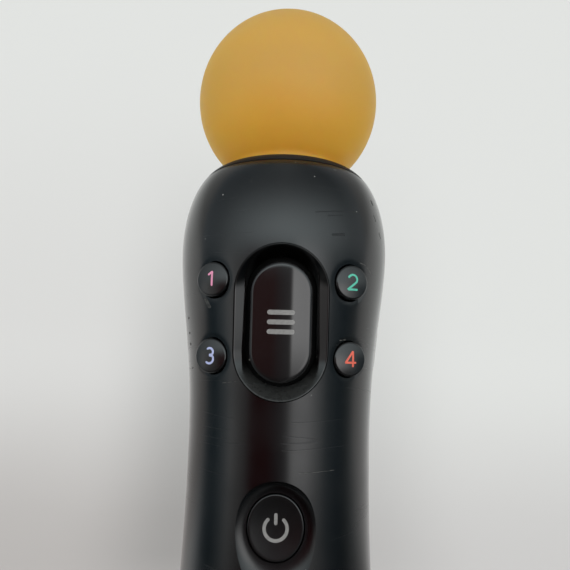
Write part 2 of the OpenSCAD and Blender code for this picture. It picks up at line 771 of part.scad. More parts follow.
// Base
module base_board() {
    color(board_green) translate([0, 0, base_board_z]) cylinder(r = base_board_r, h = board_t);
}
module socket(w, d, y) {
    translate([0, y, 0]) difference() {
        slab(socket_low, base_board_z) square([w, d], center = true);
        slab(-bury, base_board_z - 2) square([w - 2 * socket_wall, d - 2 * socket_wall], center = true);
    }
    translate([0, y, 0]) slab(socket_low + 1.5, base_board_z - 2)
        square([w * 0.6, d * 0.25], center = true);
}
module usb_socket() { color(steel) socket(usb_w, usb_d, usb_y); }
module extension_socket() { color("dimgray") socket(ext_w, ext_d, ext_y); }
module status_lens() {
    color([0.8, 0.2, 0.15]) translate([0, -body_r(lens_z) + 0.2, lens_z]) rotate([-90, 0, 0]) {
        cylinder(r = lens_r, h = wall + 1);
        translate([0, 0, wall]) cylinder(r = lens_r + 0.8, h = 1);
    }
}
module reset_switch() {
    top = base_board_z + board_t;
    color("dimgray") block([-reset_body[0] / 2, reset_body[0] / 2], [reset_y - reset_body[1], reset_y],
        [top, top + reset_body[2]]);
}
module reset_plunger() {
    color("black") translate([0, reset_y + reset_travel + fit_gap, reset_z]) rotate([-90, 0, 0])
        cylinder(r = reset_r, h = reset_wall_y + wall / 2 - reset_y - reset_travel - fit_gap);
}
module strap_bar() {
    color(steel) translate([-strap_w / 2 - wall / 2 + fit_gap, strap_y, strap_z]) rotate([0, 90, 0])
        cylinder(r = strap_r, h = strap_w + wall - 2 * fit_gap);
}
module case_screws() {
    color(steel) for (s = SCREWS) translate([s[0], screw_sink + fit_gap / 2, s[1]]) rotate([90, 0, 0]) {
        cylinder(r = screw_r, h = screw_l);
        translate([0, 0, -screw_head_h]) cylinder(r = screw_head_r, h = screw_head_h);
    }
}

front_shell();
rear_shell();
collar_ring();
light_sphere();
sphere_seat();
led_board();
led_package();
dish_bezel();
big_button();
upper_left_button();
upper_right_button();
lower_left_button();
lower_right_button();
home_button();
left_side_button();
right_side_button();
left_side_switch();
right_side_switch();
trigger();
trigger_pin();
trigger_spring();
trigger_sensor();
chassis();
main_board();
keypad_mat();
home_pad();
processor_chip();
radio_shield();
motion_sensor_board();
battery_cell();
battery_plug();
motor_can();
motor_weight();
base_board();
usb_socket();
extension_socket();
status_lens();
reset_switch();
reset_plunger();
strap_bar();
case_screws();
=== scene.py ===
import json
import bmesh
import bpy
import numpy as np
from numpy import array, concatenate as join, cos, linspace, pi, radians, sin, sqrt, stack
from mathutils import Matrix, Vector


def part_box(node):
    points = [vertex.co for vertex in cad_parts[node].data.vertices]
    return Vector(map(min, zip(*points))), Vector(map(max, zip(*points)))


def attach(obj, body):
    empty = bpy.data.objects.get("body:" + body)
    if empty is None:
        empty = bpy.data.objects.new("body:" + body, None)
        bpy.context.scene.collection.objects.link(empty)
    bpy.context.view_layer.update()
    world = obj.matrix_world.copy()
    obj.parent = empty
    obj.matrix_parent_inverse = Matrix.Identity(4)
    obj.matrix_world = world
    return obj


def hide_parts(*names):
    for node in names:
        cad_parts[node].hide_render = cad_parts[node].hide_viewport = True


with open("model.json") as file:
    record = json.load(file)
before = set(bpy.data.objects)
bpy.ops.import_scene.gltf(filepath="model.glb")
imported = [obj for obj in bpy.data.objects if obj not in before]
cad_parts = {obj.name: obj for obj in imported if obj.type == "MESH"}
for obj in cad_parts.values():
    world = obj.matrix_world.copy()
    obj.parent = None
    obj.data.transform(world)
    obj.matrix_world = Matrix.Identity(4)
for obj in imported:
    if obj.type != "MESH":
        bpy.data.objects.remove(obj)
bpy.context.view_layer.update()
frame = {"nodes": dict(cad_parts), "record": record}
scene = bpy.context.scene
scene.view_settings.view_transform = "Standard"
mm = 0.001
print("frame loaded:", len(frame["nodes"]), "nodes")


# Camera: turn goes round the wand's axis, pitch looks up the wand, roll turns the picture, all in degrees
camera = {
    "place": (1.323, -115.205, 119.466), "turn": 0.45, "pitch": 8.0, "roll": 1.5, "lens": 31.97, "sensor": 36.0,
    "nearest": 0.01,
}


def aimed(spot, turn, pitch, roll=0.0):  # stands at a spot and looks along y, then turned, pitched and rolled
    steps = [Matrix.Rotation(radians(angle), 4, axis) for angle, axis in ((turn, "Z"), (90 + pitch, "X"), (roll, "Z"))]
    return Matrix.Translation(spot) @ steps[0] @ steps[1] @ steps[2]


def makeCamera():
    lens = bpy.data.cameras.new("photoCamera")
    lens.lens, lens.sensor_width, lens.clip_start = camera["lens"], camera["sensor"], camera["nearest"]
    eye = bpy.data.objects.new("photoCamera", lens)
    eye.matrix_world = aimed(array(camera["place"]) * mm, camera["turn"], camera["pitch"], camera["roll"])
    scene.collection.objects.link(eye)
    scene.camera = eye


makeCamera()
print("camera placed")


# Shader maths: a Wire is a socket that can be added, multiplied and so on
def operator(kind):  # a method that adds one kind of Math node, and its reflected form
    return lambda self, other: self.maths(kind, self, other), lambda self, other: self.maths(kind, other, self)


class Wire:
    def __init__(self, tree, socket):
        self.tree, self.socket = tree, socket

    def node(self, kind, settings=None, out=0, **inputs):
        made = self.tree.nodes.new(kind)
        for key, value in (settings or {}).items():
            if key == "stops":
                ramp = made.color_ramp
                while len(ramp.elements) < len(value):
                    ramp.elements.new(0.5)
                for stop, (share, colour) in zip(ramp.elements, value):
                    stop.position, stop.color = share, colour
            else:
                setattr(made, key, value)
        for key, value in inputs.items():
            socket = made.inputs[int(key[1:])] if key[1:].isdigit() else made.inputs[key.replace("_", " ")]
            if isinstance(value, Wire):
                self.tree.links.new(value.socket, socket)
            else:
                socket.default_value = value
        return Wire(self.tree, made.outputs[out])

    def maths(self, operation, first, second=0.0):
        return self.node("ShaderNodeMath", {"operation": operation}, i0=first, i1=second)

    __add__, __radd__ = operator("ADD")
    __sub__, __rsub__ = operator("SUBTRACT")
    __mul__, __rmul__ = operator("MULTIPLY")
    __truediv__, __rtruediv__ = operator("DIVIDE")
    __pow__, __rpow__ = operator("POWER")

    def most(self, other):  # the larger of two values
        return self.maths("MAXIMUM", self, other)

    def least(self, other):  # the smaller of two values
        return self.maths("MINIMUM", self, other)

    def scaled(self, by):  # a colour times a value
        return self.node("ShaderNodeVectorMath", {"operation": "SCALE"}, i0=self, Scale=by)

    def between(self, low, high):  # 0 below low, 1 above high, smooth between them
        return self.node("ShaderNodeMapRange", {"interpolation_type": "SMOOTHSTEP"},
                         Value=self, From_Min=low, From_Max=high)

    def betweenMm(self, low, high):  # the same, with both ends in mm
        return self.between(low * mm, high * mm)

    def split(self):  # x, y and z of a vector
        parts = self.node("ShaderNodeSeparateXYZ", Vector=self).socket.node.outputs
        return [Wire(self.tree, parts[i]) for i in range(3)]

    def noise(self, scale, detail=2.0, stretch=(1, 1, 1)):
        across = self.node("ShaderNodeVectorMath", {"operation": "MULTIPLY"}, i0=self, i1=stretch)
        return self.node("ShaderNodeTexNoise", Vector=across, Scale=scale, Detail=detail)

    def mix(self, low, high, blend="MIX"):  # a colour between two colours, by this value
        low, high = [colour if isinstance(colour, Wire) else tinted(colour) for colour in (low, high)]
        return self.node("ShaderNodeMix", {"data_type": "RGBA", "blend_type": blend}, 2, i0=self, i6=low, i7=high)


def tinted(colour, by=1.0):  # a colour made darker or paler, with its alpha
    return (*[c * by for c in colour[:3]], 1.0)


# A material with its Principled shader, and the Object coordinates that its patterns read
class Finish:
    def __init__(self, name, **fixed):
        self.material = bpy.data.materials.new(name)
        self.material.use_nodes = True
        self.tree = self.material.node_tree
        self.shader = self.tree.nodes["Principled BSDF"]
        for key, value in fixed.items():
            self.shader.inputs[key.replace("_", " ")].default_value = value
        start = Wire(self.tree, None)
        self.at = start.node("ShaderNodeTexCoord", out=3)

    def feed(self, **wires):
        for key, wire in wires.items():
            self.tree.links.new(wire.socket, self.shader.inputs[key.replace("_", " ")])

    def bump(self, height, strength, distance=0.02 * mm):
        self.feed(Normal=height.node("ShaderNodeBump", Height=height, Strength=strength, Distance=distance))


def specks(at, scale, size, share):  # sparse round dots: near a cell's centre, in a share of the cells
    cell = at.node("ShaderNodeTexVoronoi", Vector=at, Scale=scale)
    parts = cell.socket.node.outputs
    pick = Wire(at.tree, parts["Color"]).split()[0].between(1 - share, 1 - share + 0.02)
    return (1 - Wire(at.tree, parts["Distance"]).between(size * 0.6, size)) * pick


def hairlines(at, scale, stretch, amount):  # thin broken lines where a stretched noise crosses its middle
    wave = at.noise(scale, 1.0, stretch)
    line = 1 - wave.maths("ABSOLUTE", wave - 0.5).between(0.0, 0.012)
    patch = at.noise(scale * 2.5, 1.0).between(1 - amount, 1 - amount + 0.06)
    return line * patch


def scuff(at, start, end, width):  # a mark along a line in the x, z plane of the front, in mm
    x, y, z = at.split()
    run = np.subtract(end, start) * mm
    square = max(float(run @ run), 1e-12)
    u, v = x - start[0] * mm, z - start[1] * mm
    share = (u * (run[0] / square) + v * (run[1] / square)).most(0.0).least(1.0)
    du, dv = u - share * run[0], v - share * run[1]
    away = (du * du + dv * dv) ** 0.5
    ragged = width * mm * (at.noise(900.0) + 0.5)
    return (1 - (away / ragged).between(0.6, 1.1)) * (1 - y.betweenMm(-4.0, 0.0))


# Finishes: noises are scale, detail, stretch; specks are scale, size, share; hairs are scale, stretch, amount.
# Scratches are dark, rubs are pale, and both run from start to end in x, z, with a width, in mm
satin = {
    "base": (0.0015, 0.0016, 0.0018), "vary": 1.6, "rough": 0.20, "dust": (0.40, 0.40, 0.38),
    "dark": (0.0008, 0.0008, 0.0008), "pale": (0.070, 0.068, 0.062), "hair": (0.012, 0.012, 0.012),
    "clouds": (70.0, 3.0), "fine": (420.0, 2.0), "grain": (5200.0, 1.0), "smudges": (38.0, 2.0, (1, 1, 1.6)),
    "hairs": [(26.0, (0.5, 0.5, 9.0), 0.40), (19.0, (0.8, 0.8, 14.0), 0.46)], "dustSpecks": (170.0, 0.033, 0.09),
    "dents": (95.0, 0.05, 0.05), "chips": (60.0, 0.02, 0.01), "collarZ": (157.0, 158.2), "collarRough": 0.2,
}
scratches = [
    ((6.1, 146.75), (14.8, 148.3), 0.13), ((8.5, 146.3), (11.5, 146.8), 0.09), ((9.5, 142.6), (11.75, 142.95), 0.26),
    ((18.2, 152.3), (18.5, 151.6), 0.30), ((18.6, 149.0), (19.1, 147.8), 0.15), ((20.0, 145.7), (20.4, 144.6), 0.13),
    ((-19.5, 126.9), (-19.5, 126.8), 0.30), ((-19.2, 123.8), (-19.2, 123.7), 0.28),
    ((-18.9, 121.5), (-18.8, 121.4), 0.30), ((-18.1, 116.6), (-18.1, 116.5), 0.26),
]
rubs = [
    ((-15.0, 130.2), (-14.1, 128.7), 0.34), ((15.3, 138.0), (16.5, 137.8), 0.10),
    ((16.6, 137.7), (18.0, 136.3), 0.09), ((-10.9, 114.1), (-7.9, 114.6), 0.06),
    ((11.3, 122.7), (12.6, 122.95), 0.12), ((4.0, 98.4), (10.6, 98.6), 0.07), ((9.8, 157.0), (10.3, 157.1), 0.10),
]
specksAt = [
    ((14.4, 148.3), 0.09), ((-15.5, 142.1), 0.07), ((-6.5, 153.0), 0.06), ((2.0, 157.6), 0.09), ((6.0, 112.4), 0.07),
]


def satinBlack(name, worn):
    made = Finish(name, IOR=1.5)
    at = made.at
    cloud, fine, grain = [at.noise(*satin[key]) for key in ("clouds", "fine", "grain")]
    smudge = at.noise(*satin["smudges"]).between(0.50, 0.68)
    rough = satin["rough"] + (cloud - 0.5) * 0.10 + (fine - 0.5) * 0.05 + smudge * 0.05
    rough = rough + at.split()[2].betweenMm(*satin["collarZ"]) * satin["collarRough"]  # duller beside the collar
    dust, dents, pale = [specks(at, *satin[key]) for key in ("dustSpecks", "dents", "chips")]
    lines, more = [hairlines(at, *hair) for hair in satin["hairs"]]
    lines = lines.most(more)
    if worn:
        for mark in scratches:
            dents = dents.most(scuff(at, *mark))
        for mark in rubs:
            pale = pale.most(scuff(at, *mark))
        for spot, width in specksAt:
            dust = dust.most(scuff(at, spot, spot, width))
    base = (cloud * 0.6 + fine * 0.4).between(0.3, 0.7).mix(satin["base"], tinted(satin["base"], satin["vary"]))
    base = (lines * 0.3).mix(base, satin["hair"])
    base = (pale * at.noise(1400.0).between(0.35, 0.6)).mix(base, satin["pale"])
    base = dents.mix(base, satin["dark"])
    base = (dust * 0.8).mix(base, satin["dust"])
    made.feed(Base_Color=base, Roughness=rough + lines * 0.08 + dents * 0.3 + pale * 0.2)
    made.bump(grain * 0.10 + fine * 0.25 - lines * 0.5 - dents * 3.0 - pale * 0.8, 0.35)
    return made.material


gloss = {
    "clouds": (120.0, 3.0), "hairs": (40.0, (1.0, 1.0, 0.12), 0.30), "dustSpecks": (420.0, 0.05, 0.10),
    "dust": (0.45, 0.45, 0.42), "film": (0.031, 0.0325, 0.0318), "filmZ": (113.5, 118.5),
}


def glossBlack(name, rough, base, film):  # film is how much dust lies on the slope at the dish's lower end
    made = Finish(name, IOR=1.52)
    at = made.at
    cloud = at.noise(*gloss["clouds"])
    lines = hairlines(at, *gloss["hairs"])
    dust = specks(at, *gloss["dustSpecks"])
    settled = (1 - at.split()[2].betweenMm(*gloss["filmZ"])) * film * (at.noise(900.0, 3.0) * 0.6 + 0.7)
    base = settled.mix(cloud.mix(tinted(base, 0.7), tinted(base, 1.3)), gloss["film"])
    made.feed(Base_Color=(dust * 0.7).mix(base, gloss["dust"]),
              Roughness=rough + (cloud - 0.5) * 0.04 + lines * 0.08 + dust * 0.4 + settled * 0.25)
    made.bump(cloud - lines * 0.4, 0.10)
    return made.material


dusty = {
    "lint": (900.0, 0.20, 0.35), "crumbs": (1700.0, 0.24, 0.30), "dark": (0.0004, 0.0004, 0.0004),
    "grey": (0.001, 0.001, 0.0009), "crumb": (0.10, 0.095, 0.06), "fluff": (0.34, 0.33, 0.30),
}


def dustyBlack(name):  # the dark moat, where crumbs and lint gather
    made = Finish(name, Specular_IOR_Level=0.08)
    at = made.at
    lint = specks(at, *dusty["lint"])
    crumbs = specks(at, *dusty["crumbs"]) * at.noise(90.0).between(0.35, 0.6)
    base = at.noise(500.0, 3.0).mix(dusty["dark"], dusty["grey"])
    base = (crumbs * 0.5).mix(base, dusty["crumb"])
    made.feed(Base_Color=(lint * 0.8).mix(base, dusty["fluff"]), Roughness=0.7 + (crumbs - 0.5) * 0.2)
    made.bump(crumbs + lint, 0.6, 0.1 * mm)
    return made.material


# Relief is the weight of grain and of clouds, then the strength of both
capLook = {
    "clouds": (260.0, 3.0), "grain": (4200.0, 1.0), "dustSpecks": (600.0, 0.05, 0.06), "dusted": 0.6,
    "dark": (0.003, 0.0031, 0.0033), "pale": (0.007, 0.007, 0.0073), "dust": (0.4, 0.4, 0.38), "vary": 0.06,
    "relief": (0.1, 0.4, 0.2),
}
collarLook = {
    "clouds": (160.0, 3.0), "grain": (3600.0, 1.0), "dustSpecks": (420.0, 0.06, 0.16), "dusted": 0.7,
    "dark": (0.013, 0.0140, 0.0160), "pale": (0.021, 0.0225, 0.0255), "dust": (0.30, 0.30, 0.28), "vary": 0.1,
    "relief": (1.0, 0.0, 0.15),
}


def plainBlack(name, look, rough, **fixed):
    made = Finish(name, **fixed)
    at = made.at
    cloud, grain = at.noise(*look["clouds"]), at.noise(*look["grain"])
    base = cloud.mix(look["dark"], look["pale"])
    made.feed(Base_Color=(specks(at, *look["dustSpecks"]) * look["dusted"]).mix(base, look["dust"]),
              Roughness=rough + (cloud - 0.5) * look["vary"])
    fine, coarse, strength = look["relief"]
    made.bump(grain * fine + cloud * coarse, strength)
    return made.material


# The ball's low colour is brighter, painted light that makes up for the shade by the collar. Its top colour is darker,
# painted shade against the light from above
ball = {
    "low": (0.79, 0.430, 0.048), "high": (0.595, 0.350, 0.069), "lowZ": 160.0, "highZ": 181.0,
    "top": (0.47, 0.275, 0.058), "topZ": (184.0, 199.0), "through": (0.12, 0.054, 0.006), "paintedGlowZ": (160.0, 167.0),
    "clouds": (45.0, 3.0), "fine": (2600.0, 1.0), "spots": (110.0, 0.03, 0.03), "spot": (0.16, 0.09, 0.02),
}


def amberFrost(name):
    made = Finish(name, IOR=1.45, Subsurface_Weight=1.0, Subsurface_Scale=0.008, Subsurface_Radius=(1.0, 0.6, 0.2),
                  Emission_Strength=1.0)
    at = made.at
    height = at.split()[2]
    cloud, fine = at.noise(*ball["clouds"]), at.noise(*ball["fine"])
    # brighter towards the collar: painted light
    rise = (height + (cloud - 0.5) * 0.006).betweenMm(ball["lowZ"], ball["highZ"])
    spots = specks(at, *ball["spots"])
    # darker over the top: painted shade
    crown = height.betweenMm(*ball["topZ"])
    base = crown.mix(rise.mix(ball["low"], ball["high"]), ball["top"])
    base = (spots * 0.5).mix(base, ball["spot"])
    # a painted glow at the ball's foot: the through colour given off as emission
    foot = 1 - height.betweenMm(*ball["paintedGlowZ"])
    made.feed(Base_Color=base, Roughness=0.55 + (cloud - 0.5) * 0.08,
              Emission_Color=foot.mix((0, 0, 0), ball["through"]))
    made.bump(fine, 0.12, 0.03 * mm)
    return made.material


def moulded(name, colour, rough, grain=3000.0, metal=False):  # plain inner plastics and rubbers, and brushed metals
    made = Finish(name, Metallic=float(metal))
    at = made.at
    cloud = at.noise(300.0, 3.0)
    streak = at.noise(1500.0, 2.0, (1, 1, 0.04) if metal else (1, 1, 1))
    made.feed(Base_Color=(cloud * 0.6 + streak * 0.4).mix(tinted(colour, 0.82), colour),
              Roughness=rough + (streak - 0.5) * 0.16)
    made.bump(at.noise(grain, 1.0), 0.1)
    return made.material


def ink(name, colour):
    made = Finish(name)
    worn = made.at.noise(2600.0, 2.0)
    made.feed(Base_Color=worn.between(0.3, 0.6).mix(tinted(colour, 0.8), colour),
              Roughness=0.4 + (worn - 0.5) * 0.2)
    return made.material


shellBlack = satinBlack("shellBlack", True)
trimBlack = satinBlack("trimBlack", False)
dishGloss = glossBlack("dishGloss", 0.07, (0.0008, 0.0007, 0.0007), 0.85)
buttonGloss = glossBlack("buttonGloss", 0.06, (0.0085, 0.0080, 0.0082), 0.0)
moatBlack = dustyBlack("moatBlack")
buttonBlack = plainBlack("buttonBlack", capLook, 0.17, IOR=1.5)
homeBlack = plainBlack("homeBlack", capLook, 0.22, IOR=1.5)
collarBlack = plainBlack("collarBlack", collarLook, 0.34, Specular_IOR_Level=0.02)  # hardly mirrors the ball
ballAmber = amberFrost("ballAmber")
slotFinish = {
    "satin_black": trimBlack, "gloss_black": dishGloss, "button_black": buttonBlack, "amber_frost": ballAmber,
    "clear_plastic": moulded("clearPlastic", (0.8, 0.82, 0.85), 0.2),
    "board_green": moulded("boardGreen", (0.05, 0.22, 0.1), 0.35, 900.0),
    "lamp_white": moulded("lampWhite", (0.8, 0.79, 0.72), 0.45),
    "grey_plastic": moulded("greyPlastic", (0.07, 0.07, 0.075), 0.5),
    "steel": moulded("steel", (0.62, 0.63, 0.65), 0.28, 4000.0, True),
    "grey_rubber": moulded("greyRubber", (0.3, 0.3, 0.31), 0.75),
    "cell_wrap": moulded("cellWrap", (0.1, 0.17, 0.38), 0.3),
    "brass": moulded("brass", (0.7, 0.52, 0.2), 0.3, 4000.0, True),
    "red_lens": moulded("redLens", (0.4, 0.04, 0.03), 0.15),
}
for part in frame["record"]["subparts"]:
    node = frame["nodes"][part["node"]]
    node.data.materials.clear()
    node.data.materials.append(slotFinish[part["material_slot"]])
print("finishes made:", len(bpy.data.materials))


# Meshes: sheets are grids of points in mm, welded together, and open ends are filled
weld, sliver = 2e-6, 1e-7


def gridQuads(rows, cols, wrap, first):  # the four corners of each cell, with points counted row by row
    r, c = np.meshgrid(np.arange(rows - 1), np.arange(cols if wrap else cols - 1), indexing="ij")
    right = (c + 1) % cols
    quads = stack([r * cols + c, r * cols + right, (r + 1) * cols + right, (r + 1) * cols + c], -1)
    return quads.reshape(-1, 4) + first


def meshPiece(name, *sheets, wrap=True, sharp=35.0):
    points, quads, count = [], [], 0
    for grid in sheets:
        rows, cols = grid.shape[:2]
        quads.append(gridQuads(rows, cols, wrap, count))
        points.append(grid.reshape(-1, 3) * mm)
        count += rows * cols
    mesh = bpy.data.meshes.new(name)
    mesh.from_pydata(join(points).tolist(), [], join(quads).tolist())
    tool = bmesh.new()
    tool.from_mesh(mesh)
    bmesh.ops.remove_doubles(tool, verts=tool.verts, dist=weld)
    bmesh.ops.dissolve_degenerate(tool, edges=tool.edges, dist=sliver)
    bmesh.ops.holes_fill(tool, edges=[e for e in tool.edges if e.is_boundary], sides=0)
    bmesh.ops.recalc_face_normals(tool, faces=tool.faces)
    tool.to_mesh(mesh)
    tool.free()
    piece = bpy.data.objects.new(name, mesh)
    scene.collection.objects.link(piece)
    smooth(mesh, sharp)
    return piece


def smooth(mesh, sharp):
    mesh.shade_smooth()
    mesh.set_sharp_from_angle(angle=radians(sharp))


def carve(piece, cutters, sharp=35.0):  # takes the cutters away from the piece, one after the other
    for cutter in cutters:
        cut = piece.modifiers.new("carve", "BOOLEAN")
        cut.operation, cut.solver, cut.object = "DIFFERENCE", "MANIFOLD", cutter
    shown = bpy.context.evaluated_depsgraph_get()
    shown.update()
    carved = bpy.data.meshes.new_from_object(piece.evaluated_get(shown))
    piece.modifiers.clear()
    piece.data = carved
    for cutter in cutters:
        bpy.data.objects.remove(cutter)
    smooth(carved, sharp)


def dress(piece, body, slot, finish, *nodes):
    piece.data.materials.clear()
    piece.data.materials.append(finish)
    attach(piece, body)
    if nodes:
        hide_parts(*nodes)


def spotAt(centre, across, along, out):  # where a piece stands, and its own three directions
    return {"centre": array(centre), "axes": array([across, along, out])}


def place(local, spot):  # local u, v, w along a spot's three directions, from its centre
    return spot["centre"] + local @ spot["axes"]


def inSpot(points, spot):  # the reverse of place
    return (points - spot["centre"]) @ spot["axes"].T


def fullTurn(steps):  # angles once round
    return linspace(0, 2 * pi, steps, endpoint=False)


def atLevel(ring, level):  # u, v rows with a third value, one for all or one for each
    return join([ring, np.broadcast_to(level, len(ring))[:, None]], -1)


def arcPath(centre, r, start, end, steps=24):  # points on a round, from one angle to another in degrees
    turn = radians(linspace(start, end, steps))
    return stack([centre[0] + r * cos(turn), centre[1] + r * sin(turn)], -1)


# An oblong with round ends, anticlockwise: points on its middle line, and directions outward from them
def oblongLoop(w, h, steps=24, sides=12):
    half = (h - w) / 2
    turn = linspace(0, pi, steps + 1)
    climb = linspace(-half, half, sides + 1)[1:-1]
    topEnd = stack([cos(turn), sin(turn)], -1)
    side = np.repeat([[1.0, 0.0]], len(climb), 0)
    away = join([side, topEnd, -side, -topEnd])
    spine = join([climb, np.full(steps + 1, half), -climb, np.full(steps + 1, -half)])
    middle = stack([np.zeros_like(spine), spine], -1)
    return middle, away


def straight(name, ring, spot, *levels):  # a ring carried straight between levels along a spot's out direction
    return meshPiece(name, place(array([atLevel(ring, level) for level in levels]), spot))


def tube(outer, inner, low, high, spot):  # a wall between two rings, from one level to another
    edges = (outer, low), (outer, high), (inner, high), (inner, low), (outer, low)
    return place(array([atLevel(ring, level) for ring, level in edges]), spot)


def prism(name, spot, w, h, low, high):  # a straight oblong block
    middle, away = oblongLoop(w, h)
    return straight(name, middle + away * w / 2, spot, low, high)


def ovalRod(name, spot, w, h, low, high):  # a straight elliptical block
    turn = fullTurn(96)
    return straight(name, stack([cos(turn) * w / 2, sin(turn) * h / 2], -1), spot, low, high)


def turned(profile):  # a profile of r, z rows turned round the wand's axis
    turn = fullTurn(128)
    r, z = profile[:, :1], profile[:, 1:]
    return stack([r * sin(turn), -r * cos(turn), z + 0 * turn], -1)


def bore(name, start, r, length, along=(0, 1, 0)):  # a plain round rod, from front to back or across
    along = array(along, float)
    side = np.cross(along, [0.0, 0.0, 1.0])
    other = np.cross(along, side)
    turn = fullTurn(40)[:, None]
    ring = array(start) + r * (cos(turn) * side + sin(turn) * other)
    return meshPiece(name, array([ring, ring + along * length]))


def boxBlock(name, low, high):  # a plain box between two corners
    corners = array([[low[0], low[1]], [high[0], low[1]], [high[0], high[1]], [low[0], high[1]]])
    return meshPiece(name, array([atLevel(corners, low[2]), atLevel(corners, high[2])]))


# Housing: one outline from the flat base through butt, waist and head to the collar. Drops are depth and width
body = {
    "headR": 23.0, "headZ": 142.5, "shoulder": 18.1, "crownR": 14.8, "waistR": 19.55, "waistZ": 94.0, "flare": 1.55,
    "buttR": 20.6, "buttZ": 50.0, "baseR": 13.0, "baseRound": 18.0, "wall": 2.0, "seam": 0.05, "topZ": 158.28,
    "fineZ": 80.0, "evenFrom": 0.11, "seamDrop": (0.16, 0.28), "topDrop": (0.06, 0.35),
}


def ease(t):  # three times t squared less twice t cubed, level at both ends
    t = np.clip(t, 0, 1)
    return t * t * (3 - 2 * t)


def bell(away, high, wide, power=2):  # a height times e to the minus q, where q is distance over width, to a power
    return high * np.exp(-(away / wide) ** power)


# Radius at each height: a quarter of an ellipse at the base, an eased step from butt to waist, an eased power from
# waist to head, and a quarter of an ellipse over the shoulder
def bodyRadius(z):
    z = np.asarray(z, float)
    b = body
    low = b["baseR"] + (b["buttR"] - b["baseR"]) * sqrt(1 - np.clip(1 - z / b["baseRound"], 0, 1) ** 2)
    grip = b["waistR"] + (b["buttR"] - b["waistR"]) * ease((b["waistZ"] - z) / (b["waistZ"] - b["buttZ"]))
    rise = np.clip((z - b["waistZ"]) / (b["headZ"] - b["waistZ"]), 0, 1) ** b["flare"]
    head = b["waistR"] + (b["headR"] - b["waistR"]) * ease(rise)
    arch = sqrt(1 - np.clip((z - b["headZ"]) / b["shoulder"], 0, 1) ** 2)
    shoulder = b["crownR"] + (b["headR"] - b["crownR"]) * arch
    return np.select([z < b["baseRound"], z < b["waistZ"], z < b["headZ"]], [low, grip, head], shoulder)


# What the housing is cut for: each cut runs between two levels along the spot's out direction
dish = {
    "z": 125.7, "w": 18.0, "h": 29.5, "lean": 5.7, "slopeW": 2.2, "foot": -2.86, "tilt": 0.04, "back": -4.4,
    "moat": (-4.05, -4.35), "tuck": 0.05, "gap": 0.1, "cut": (-8.0, 6.0), "slopeFrom": (0.2, 0.03),
    "rimIn": (0.0, 0.0, 0.03, 0.08, 0.15), "rimDown": (0.22, 0.08, 0.03, 0.02), "footIn": (0.06, 0.1, 0.1),
    "footDown": (0.04, 0.12),
}
lean = radians(dish["lean"])
dishSpot = spotAt((0, -float(bodyRadius(dish["z"])), dish["z"]), (1, 0, 0),
                  (0, -sin(lean), cos(lean)), (0, -cos(lean), -sin(lean)))
cap = {
    "w": 6.7, "h": 6.7, "x": 13.15, "turn": 20.0, "upperZ": 133.8, "lowerZ": 119.2, "gap": 0.3, "proud": 0.9,
    "dome": 0.35, "edge": 0.45, "skirt": 3.6, "rim": (0.12, 0.4), "cut": (-9.0, 5.0),
}
home = {
    "z": 88.5, "w": 10.4, "h": 11.8, "gap": 0.2, "floor": (5.5, 6.2), "depth": 1.8, "wall": (3.3, 2.3), "arc": 60.0,
    "past": (1.5, 2.4), "drop": 2.4, "dropPower": 1.5, "sink": 1.95, "hollow": 38.0, "edge": 0.25, "skirt": 4.6,
    "boss": (2.8, 10.0, 4), "cut": (-9.0, 3.0),
}
homeSpot = spotAt((0, -float(bodyRadius(home["z"])), home["z"]), (1, 0, 0), (0, 0, 1), (0, -1, 0))
sideKey = {
    "z": 121.5, "w": 4.0, "h": 9.5, "gap": 0.3, "proud": 0.15, "edge": 0.4, "flange": 1.0, "flangeThick": 1.1,
    "play": 0.3, "through": (-3.0, 5.0),
}
sideKey["cut"] = float(bodyRadius(sideKey["z"])) + array(sideKey["through"])


def capSpot(side, z):
    turn = radians(side * cap["turn"])
    y = -sqrt(float(bodyRadius(z)) ** 2 - cap["x"] ** 2)
    return spotAt((side * cap["x"], y, z), (cos(turn), sin(turn), 0), (0, 0, 1), (sin(turn), -cos(turn), 0))


def sideSpot(side):
    return spotAt((0, 0, sideKey["z"]), (0, side, 0), (0, 0, 1), (side, 0, 0))


sideSign = {"left": -1, "right": 1}
capSpots = {row + "_" + name: capSpot(side, cap[row + "Z"])
            for row in ("upper", "lower") for name, side in sideSign.items()}


